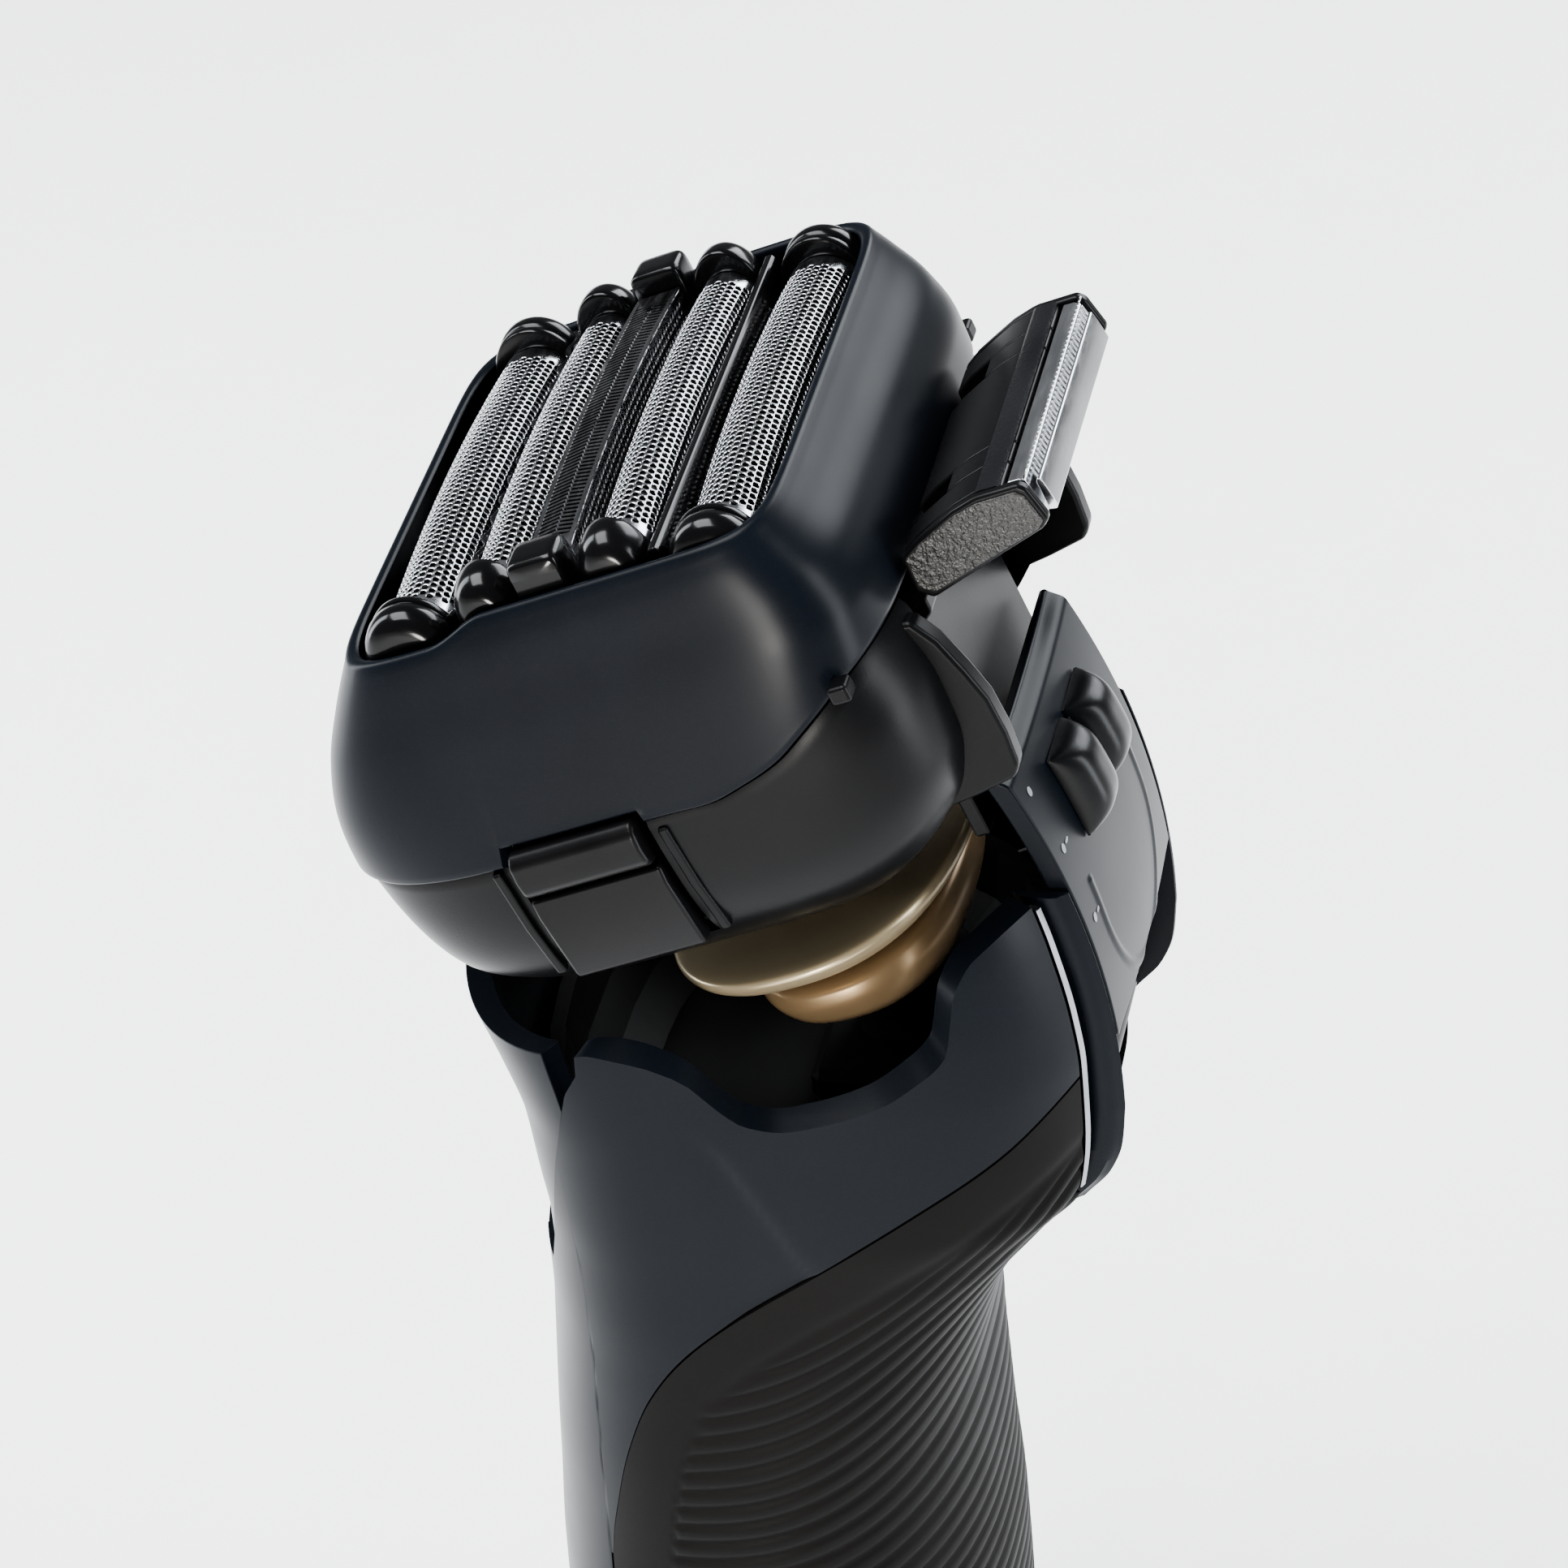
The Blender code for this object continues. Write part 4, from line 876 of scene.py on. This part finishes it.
def dot(name, cx, cd, r, body, lift=0.02, sx=1.0):
    """Small printed mark that follows the slider track."""
    bm = bmesh.new()
    rings = []
    for q, h in ((1.0, lift), (1.0, lift + 0.02)):
        rings.append([arc(cx + sx * r * q * math.cos(2 * math.pi * i / 28), cd + math.degrees(r * q * math.sin(2 * math.pi * i / 28) / ARC_R),
                          panel_out(cx, cd) + h) for i in range(28)])
    loft_into(bm, rings)
    ob = finish(name, bm, "mark_grey", 30)
    part(ob, body, slot="white_plastic")
    return ob


for i, (cx, cd, r, sx) in enumerate(((12.2, 21.0, 0.42, 1.0), (12.2, 26.4, 0.42, 1.0), (12.2, 14.6, 0.42, 1.0), (11.0, 21.0, 0.16, 3.0), (11.0, 14.6, 0.16, 3.0))):
    dot("slider_mark_%d" % i, cx, cd, r, "slider", sx=sx)

# ------------------------------------------------------------------ handle surface
H_TABLE = (
    (0, 21.5, 16.5, 16.0), (2, 23.5, 18.0, 17.6), (6, 24.8, 19.3, 18.8), (15, 25.5, 20.2, 19.8), (40, 26.5, 20.6, 20.5),
    (50, 26.9, 20.2, 20.1), (60, 27.3, 20.0, 19.2), (66, 27.6, 19.9, 18.7), (70, 27.8, 20.5, 18.3), (73, 27.9, 21.3, 18.0),
    (76, 28.0, 22.2, 17.7), (79, 28.15, 23.2, 17.4), (82, 28.3, 24.5, 17.1), (87, 28.6, 27.4, 16.9), (92, 28.8, 31.6, 16.8),
    (97, 29.0, 36.0, 17.3), (104, 29.2, 37.0, 18.0), (110, 29.3, 37.1, 19.9), (115, 29.2, 36.6, 22.0), (122, 28.6, 35.0, 24.5),
    (128, 27.8, 33.0, 25.0))
RIM = ((-30.0, 114.5), (-20.0, 114.5), (-8.0, 116.1), (-5.4, 117.0), (-2.8, 116.7), (0.0, 116.1), (2.9, 114.7), (5.1, 112.5),
       (7.5, 110.7), (10.3, 110.2), (13.8, 110.8), (18.5, 112.2), (21.9, 114.2), (24.3, 116.4), (25.2, 121.8),
       (26.8, 124.2), (31.2, 125.9), (40.0, 126.2))
GRIP = ((-30.0, 3.0), (-11.9, 3.0), (-11.7, 30.0), (-11.3, 46.0), (-10.9, 56.6), (-9.1, 65.7), (-7.2, 72.3), (-4.5, 78.8), (-0.9, 84.1),
        (3.9, 88.7), (11.5, 94.2), (20.8, 100.5), (28.2, 105.0), (34.1, 109.2), (40.0, 112.0))
FRONT_EDGE = ((-30.0, 87.0), (-13.8, 88.0), (-12.5, 93.0), (-10.5, 103.0), (-8.0, 112.4), (-5.4, 117.0))
WALL = 2.2


def hsec(z, t, inset=0.0):
    a, br, bf = (smooth_lerp(H_TABLE, z, k) - inset for k in (1, 2, 3))
    c, s = math.cos(t), math.sin(t)
    n = (2.3 + 0.7 * max(0.0, min(1.0, (z - 60) / 30))) if s > 0 else 2.5
    return a * math.copysign(abs(c) ** (2 / n), c), (br if s > 0 else bf) * math.copysign(abs(s) ** (2 / n), s)


def on_edge(table, t, guess=95.0, fn=smooth_lerp):
    z = guess
    for _ in range(30):
        z += 0.5 * (fn(table, hsec(z, t)[1], 1) - z)
    return z


def spread(t0, t1, n):
    return [t0 + (t1 - t0) * i / n for i in range(n + 1)]


def patch(name, degs, zlo, zhi, nz, mat, out=0.0, wall=WALL, rise=None, bulge=None, ease=None, smooth=40.0, top=None):
    """Curved wall piece of the handle. rise(t) lifts the inner top edge, bulge(deg, z, f) moves the face outwards."""
    bm = bmesh.new()
    rings = []
    for deg in degs:
        t = math.radians(deg)
        lo, hi = zlo(t), zhi(t)
        up = rise(t) if rise else 0.0
        ring = []
        fs = [ease(k / nz) if ease else k / nz for k in range(nz + 1)]
        for f in fs:
            z = min(lo + (top - lo) * f, hi) if top else lo + (hi - lo) * f
            o = out - (bulge(deg, z, f) if bulge else 0.0)
            ring.append(row(*hsec(z, t, o), z))
        for f in reversed(fs):
            z = min(lo + (top - lo) * f, hi) if top else lo + (hi + up - lo) * f
            ring.append(row(*hsec(z, t, out + wall), z))
        rings.append(ring)
    vs = [[bm.verts.new(p) for p in r] for r in rings]
    n = len(rings[0])
    for a, b in zip(vs, vs[1:]):
        for i in range(n):
            j = (i + 1) % n
            bm.faces.new((a[i], a[j], b[j], b[i]))
    for ring, flip in ((vs[0], True), (vs[-1], False)):
        for k in range(nz):
            q = (ring[k], ring[k + 1], ring[n - 2 - k], ring[n - 1 - k])
            bm.faces.new(tuple(reversed(q)) if flip else q)
    return finish(name, bm, mat, smooth)


def grip_front_angle():
    d = -10.0
    while hsec(30, math.radians(d))[1] > -11.2 and d > -60:
        d -= 0.25
    return d


GF = grip_front_angle()
GF_Z = None


def fold(t):
    return math.pi - t if math.cos(t) < 0 else t


def rim_rise(t):
    y = hsec(112.0, fold(t))[1]
    return 0.9 * step01(-7.5, -2.0, y) * (1 - 0.9 * step01(24.0, 27.0, y))


SIDE = spread(-64.0, GF - 2.0, 24) + spread(GF - 1.8, GF - 0.8, 10) + spread(GF, 60.4, 110)


def side_lo(t):
    tt = fold(t)
    d = math.degrees(tt)
    if d < GF - 0.1:
        return 3.0 + (on_edge(GRIP, math.radians(GF), 70.0) - 2.7) * max(0.0, min(1.0, d - GF + 1.8))
    return on_edge(GRIP, tt, 70.0) + GAP


def side_hi(t):
    tt = fold(t)
    if hsec(110, tt)[1] > -6.0:
        return on_edge(RIM, tt, 112.0)
    return on_edge(FRONT_EDGE, tt, 95.0, lerp)


CREASE = ((-30.0, 119.0), (2.0, 111.0), (4.9, 107.1), (8.0, 101.1), (11.2, 94.5), (40.0, 40.0))


def side_bulge(deg, z, f):
    t = fold(math.radians(deg))
    y = hsec(z, t)[1]
    e = 0.0
    if y > 2.0:
        e -= 0.28 * (1 - step01(-1.0, 1.6, z - lerp(CREASE, y, 1))) * step01(2.0, 6.0, y)
    return e


for tag, flip in (("right", 0), ("left", 1)):
    def ang(d, flip=flip):
        return 180 - d if flip else d
    sh = patch("side_shell_skin_" + tag, [ang(d) for d in SIDE], side_lo, side_hi, 64, "paint_blue_black", rise=rim_rise, bulge=side_bulge)
    part(soften(sh, 0.28, 3, 45), "handle", "side_shell_" + tag, slot="blue_black")
    st = patch("chrome_line_" + tag, spread(ang(61.2), ang(62.7), 8), lambda t: 97.0, lambda t: 125.4, 60, "chrome_line", out=-0.05, wall=1.0)
    part(soften(st, 0.15, 3, 45), "handle", "chrome_strip_" + tag, slot="chrome")


def collar_lo(t):
    tt = fold(t)
    if abs(math.degrees(tt) + 90) < 26.5:
        return 87.6
    return on_edge(FRONT_EDGE, tt, 95.0, lerp) + GAP + 0.35


col = patch("front_collar", spread(-158.0, -22.0, 120), collar_lo, lambda t: on_edge(RIM, fold(t), 112.0), 24, "paint_blue_black", out=0.5)
part(soften(col, 0.4, 3, 45), "handle", "front_housing", slot="blue_black")

fp = patch("front_cover", spread(-115.4, -64.6, 60), lambda t: 3.0, lambda t: 87.0, 90, "paint_blue_black")
bm = bmesh.new()
loft_into(bm, [[row(6.4 * math.cos(a), y, 66 + 6.4 * math.sin(a)) for a in (2 * math.pi * k / 72 for k in range(72))] for y in (-30, -10)])
hole = finish("hole_a", bm, "case_black", 0)
WINP = []
for i in range(48):
    c, s = math.cos(2 * math.pi * (i + 0.5) / 48), math.sin(2 * math.pi * (i + 0.5) / 48)
    WINP.append((6.0 * math.copysign(abs(c) ** 0.22, c), 36.0 + 14.0 * math.copysign(abs(s) ** 0.10, s)))
bm = bmesh.new()
loft_into(bm, [[row(x, y, z) for x, z in WINP] for y in (-30, -10)])
hole2 = finish("hole_b", bm, "case_black", 0)
carve(fp, [hole, hole2])
fp.data.shade_smooth()
fp.data.set_sharp_from_angle(angle=math.radians(38))
part(soften(fp, 0.25, 3, 50), "handle", "front_panel", slot="blue_black")

PB = ((-16.8, 5.9), (-18.4, 5.9), (-18.75, 5.82), (-19.0, 5.6), (-19.1, 5.3), (-19.12, 4.9), (-18.95, 4.7), (-18.9, 4.4), (-19.0, 3.0), (-19.1, 1.4), (-19.12, 0.2))
bm = bmesh.new()
loft_into(bm, [[row(r * math.cos(2 * math.pi * k / 96), y, 66 + r * math.sin(2 * math.pi * k / 96)) for k in range(96)] for y, r in PB])
part(finish("power_key", bm, "power_ring", 40), "power_button", "power_button", slot="chrome")
bm = bmesh.new()
rr = []
for i in range(37):
    a = math.radians(130 + 280 * i / 36)
    rr.append([row(q * math.cos(a), y, 66 + q * math.sin(a)) for y, q in ((-19.04, 1.75), (-19.16, 1.75), (-19.16, 2.05), (-19.04, 2.05))])
loft_into(bm, rr, fan=False)
prism_into(bm, [(-19.04, 66.4), (-19.16, 66.4), (-19.16, 68.2), (-19.04, 68.2)], -0.15, 0.15, row)
part(finish("power_key_mark", bm, "mark_grey", 30), "power_button", slot="white_plastic")

WIN2 = [(x * 0.945, 36.0 + (z - 36.0) * 0.975) for x, z in WINP]
bm = bmesh.new()
loft_into(bm, [[row(x * q, y, 36 + (z - 36) * q) for x, z in WIN2] for y, q in ((-18.2, 1.0), (-19.75, 1.0), (-19.95, 0.985), (-20.03, 0.95))], fan=True)
part(soften(finish("display_glass", bm, "gloss_black", 40), 0.05, 2, 60), "handle", "display_window", slot="gloss_black")
for i in range(5):
    z0 = 30.0 + i * 2.2
    m = prism("display_mark_%d" % i, [(-20.035, z0), (-20.035, z0 + 1.2), (-20.06, z0 + 1.2), (-20.06, z0)], [(-1.6, 1.6)], row, "mark_grey")
    part(m, "handle", slot="white_plastic")

# ------------------------------------------------------------------ ribbed rubber grip


def grip_hi(t):
    d = math.degrees(fold(t))
    if d > 61.7:
        return 93.4
    if d > 60.5:
        return 96.5
    return on_edge(GRIP, fold(t), 70.0)


RIBEDGE = ((-30.0, -20.0), (-7.2, -20.0), (-6.6, 20.0), (-5.9, 46.0), (-4.6, 59.2), (-3.2, 67.6), (-1.3, 74.6), (1.5, 79.5), (5.5, 83.6), (10.8, 87.5), (16.0, 90.8),
           (22.0, 94.6), (28.0, 98.6), (40.0, 106.0))


def rib_bulge(deg, z, f):
    t = fold(math.radians(deg))
    y = hsec(z, t)[1]
    e = lerp(RIBEDGE, y, 1) - z
    ybord = y + 6.3
    inside = step01(0.0, 1.4, e) * step01(6.5, 9.0, z)
    rise = 0.016 * max(0.0, y + 6.0) ** 2 * (0.35 + 0.65 * step01(50.0, 85.0, z))
    ph = (z - rise) / 2.05
    w = ph - math.floor(ph)
    groove = math.exp(-((w - 0.5) / 0.17) ** 2)
    return 0.10 * inside - 0.30 * inside * groove - 0.12 * math.exp(-((e + 0.2) / 0.7) ** 2) * step01(6.5, 9.0, z)


HALF = spread(GF, 60.4, 96) + spread(60.6, 62.0, 4) + spread(63.0, 90.0, 22)
grip = patch("grip_skin", HALF + [180 - d for d in reversed(HALF[:-1])], lambda t: 3.0, grip_hi, 330, "rubber_black", bulge=rib_bulge, smooth=60.0, top=max(grip_hi(math.radians(d)) for d in HALF) + 0.2)
part(grip, "handle", "rubber_grip", slot="rubber")

# ------------------------------------------------------------------ rear housing, base and inside


def rail_y(z):
    return smooth_lerp(((92.0, 31.6), (94.2, 33.2), (97.0, 35.6), (100.0, 36.8), (104.0, 37.3)), z, 1) if z < 104.9 else \
        ARC_Y + math.sqrt(ARC_R ** 2 - (z - ARC_Z) ** 2)


rings = []
for k in range(83):
    z = 94.2 + 31.6 * k / 82
    y = rail_y(z)
    d = 3.6 * step01(94.3, 98.0, z) + 0.7
    w = 16.1
    rings.append([row(-w, y - 2.0, z), row(-w + 0.12, y - 1.3, z), row(-w + 0.5, y - 0.9, z), row(-15.25, y - 0.42, z), row(-14.95, y - 0.5, z), row(-14.95, y - d, z)]
                 + [row(-14.95 + 29.9 * i / 20, y - d, z) for i in range(1, 20)] +
                 [row(14.95, y - d, z), row(14.95, y - 0.5, z), row(15.25, y - 0.42, z), row(w - 0.5, y - 0.9, z), row(w - 0.12, y - 1.3, z), row(w, y - 2.0, z),
                  row(w - 0.3, y - 4.4, z), row(w - 1.9, y - 6.2, z), row(-w + 1.9, y - 6.2, z), row(-w + 0.3, y - 4.4, z)])
bm = bmesh.new()
vs = [[bm.verts.new(p) for p in r] for r in rings]
n = len(rings[0])
for a, b in zip(vs, vs[1:]):
    for i in range(n):
        bm.faces.new((a[i], a[(i + 1) % n], b[(i + 1) % n], b[i]))
bm.faces.new(list(reversed(vs[0])))
bm.faces.new(vs[-1])
bmesh.ops.triangulate(bm, faces=[f for f in bm.faces if len(f.verts) > 4])
rear = finish("rear_channel", bm, "paint_blue_black", 35)
carve(rear, [cutter("cr", [((-15.05, 15.05), (21.3, 46.1), (111.2, 141.0))], row)])
rear.data.shade_smooth()
rear.data.set_sharp_from_angle(angle=math.radians(35))
part(rear, "handle", "rear_housing", slot="blue_black")


def hloop(z, inset, n=120):
    return [row(*hsec(z, 2 * math.pi * (i + 0.5) / n, inset), z) for i in range(n)]


bm = bmesh.new()
loft_into(bm, [hloop(0.0, 1.0), hloop(0.08, 0.55), hloop(0.35, 0.25), hloop(0.8, 0.1), hloop(1.6, 0.0), hloop(2.3, 0.0), hloop(2.6, 0.15)])
base = finish("base_plate", bm, "case_black", 40)
INLET_Y = 8.5


def stadium(a, b, z, n=64):
    out = []
    for i in range(n):
        t = 2 * math.pi * (i + 0.5) / n
        c, s = math.cos(t), math.sin(t)
        out.append(row(a * math.copysign(abs(c) ** (2 / 3.2), c), INLET_Y + b * math.copysign(abs(s) ** (2 / 3.2), s), z))
    return out


bm = bmesh.new()
loft_into(bm, [stadium(4.9, 2.9, -1.0), stadium(4.9, 2.9, 3.4)])
carve(base, [finish("ci", bm, "case_black", 0)])
base.data.shade_smooth()
base.data.set_sharp_from_angle(angle=math.radians(38))
part(soften(base, 0.2, 2, 55), "handle", "base_cap", slot="black_plastic")
bm = bmesh.new()
loft_into(bm, [stadium(4.6, 2.6, 3.7), stadium(4.6, 2.6, 0.6), stadium(4.45, 2.45, 0.42), stadium(3.85, 1.85, 0.42), stadium(3.7, 1.7, 0.6), stadium(3.7, 1.7, 2.7)])
part(finish("inlet", bm, "gloss_black", 40), "handle", "charging_socket", slot="black_plastic")
for s, tag in ((1, "right"), (-1, "left")):
    bm = bmesh.new()
    loft_into(bm, [[row(s * 1.8 + r * math.cos(2 * math.pi * i / 20), INLET_Y + r * math.sin(2 * math.pi * i / 20), z) for i in range(20)] for z, r in ((3.0, 0.55), (1.4, 0.55), (1.15, 0.3))])
    part(finish("inlet_pin_" + tag, bm, "blade_steel", 40), "handle", slot="steel")

# materials on the CAD pieces that stay as they are
KEEP = {"foil_cassette_frame": "gloss_black", "linear_motor": "dark_metal", "motor_seal": "inner_black_and_painted_shade", "drive_pin_a": "nylon_white",
        "drive_pin_b": "nylon_white", "pitch_rocker": "inner_black_and_painted_shade", "roll_rocker": "inner_black_and_painted_shade", "neck_base": "inner_black_and_painted_shade",
        "well_liner": "inner_black_and_painted_shade", "inner_chassis": "inner_black_and_painted_shade", "battery": "board_green", "circuit_board": "board_green"}
for name, key in KEEP.items():
    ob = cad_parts[name]
    ob.data.materials.clear()
    ob.data.materials.append(MAT[key])
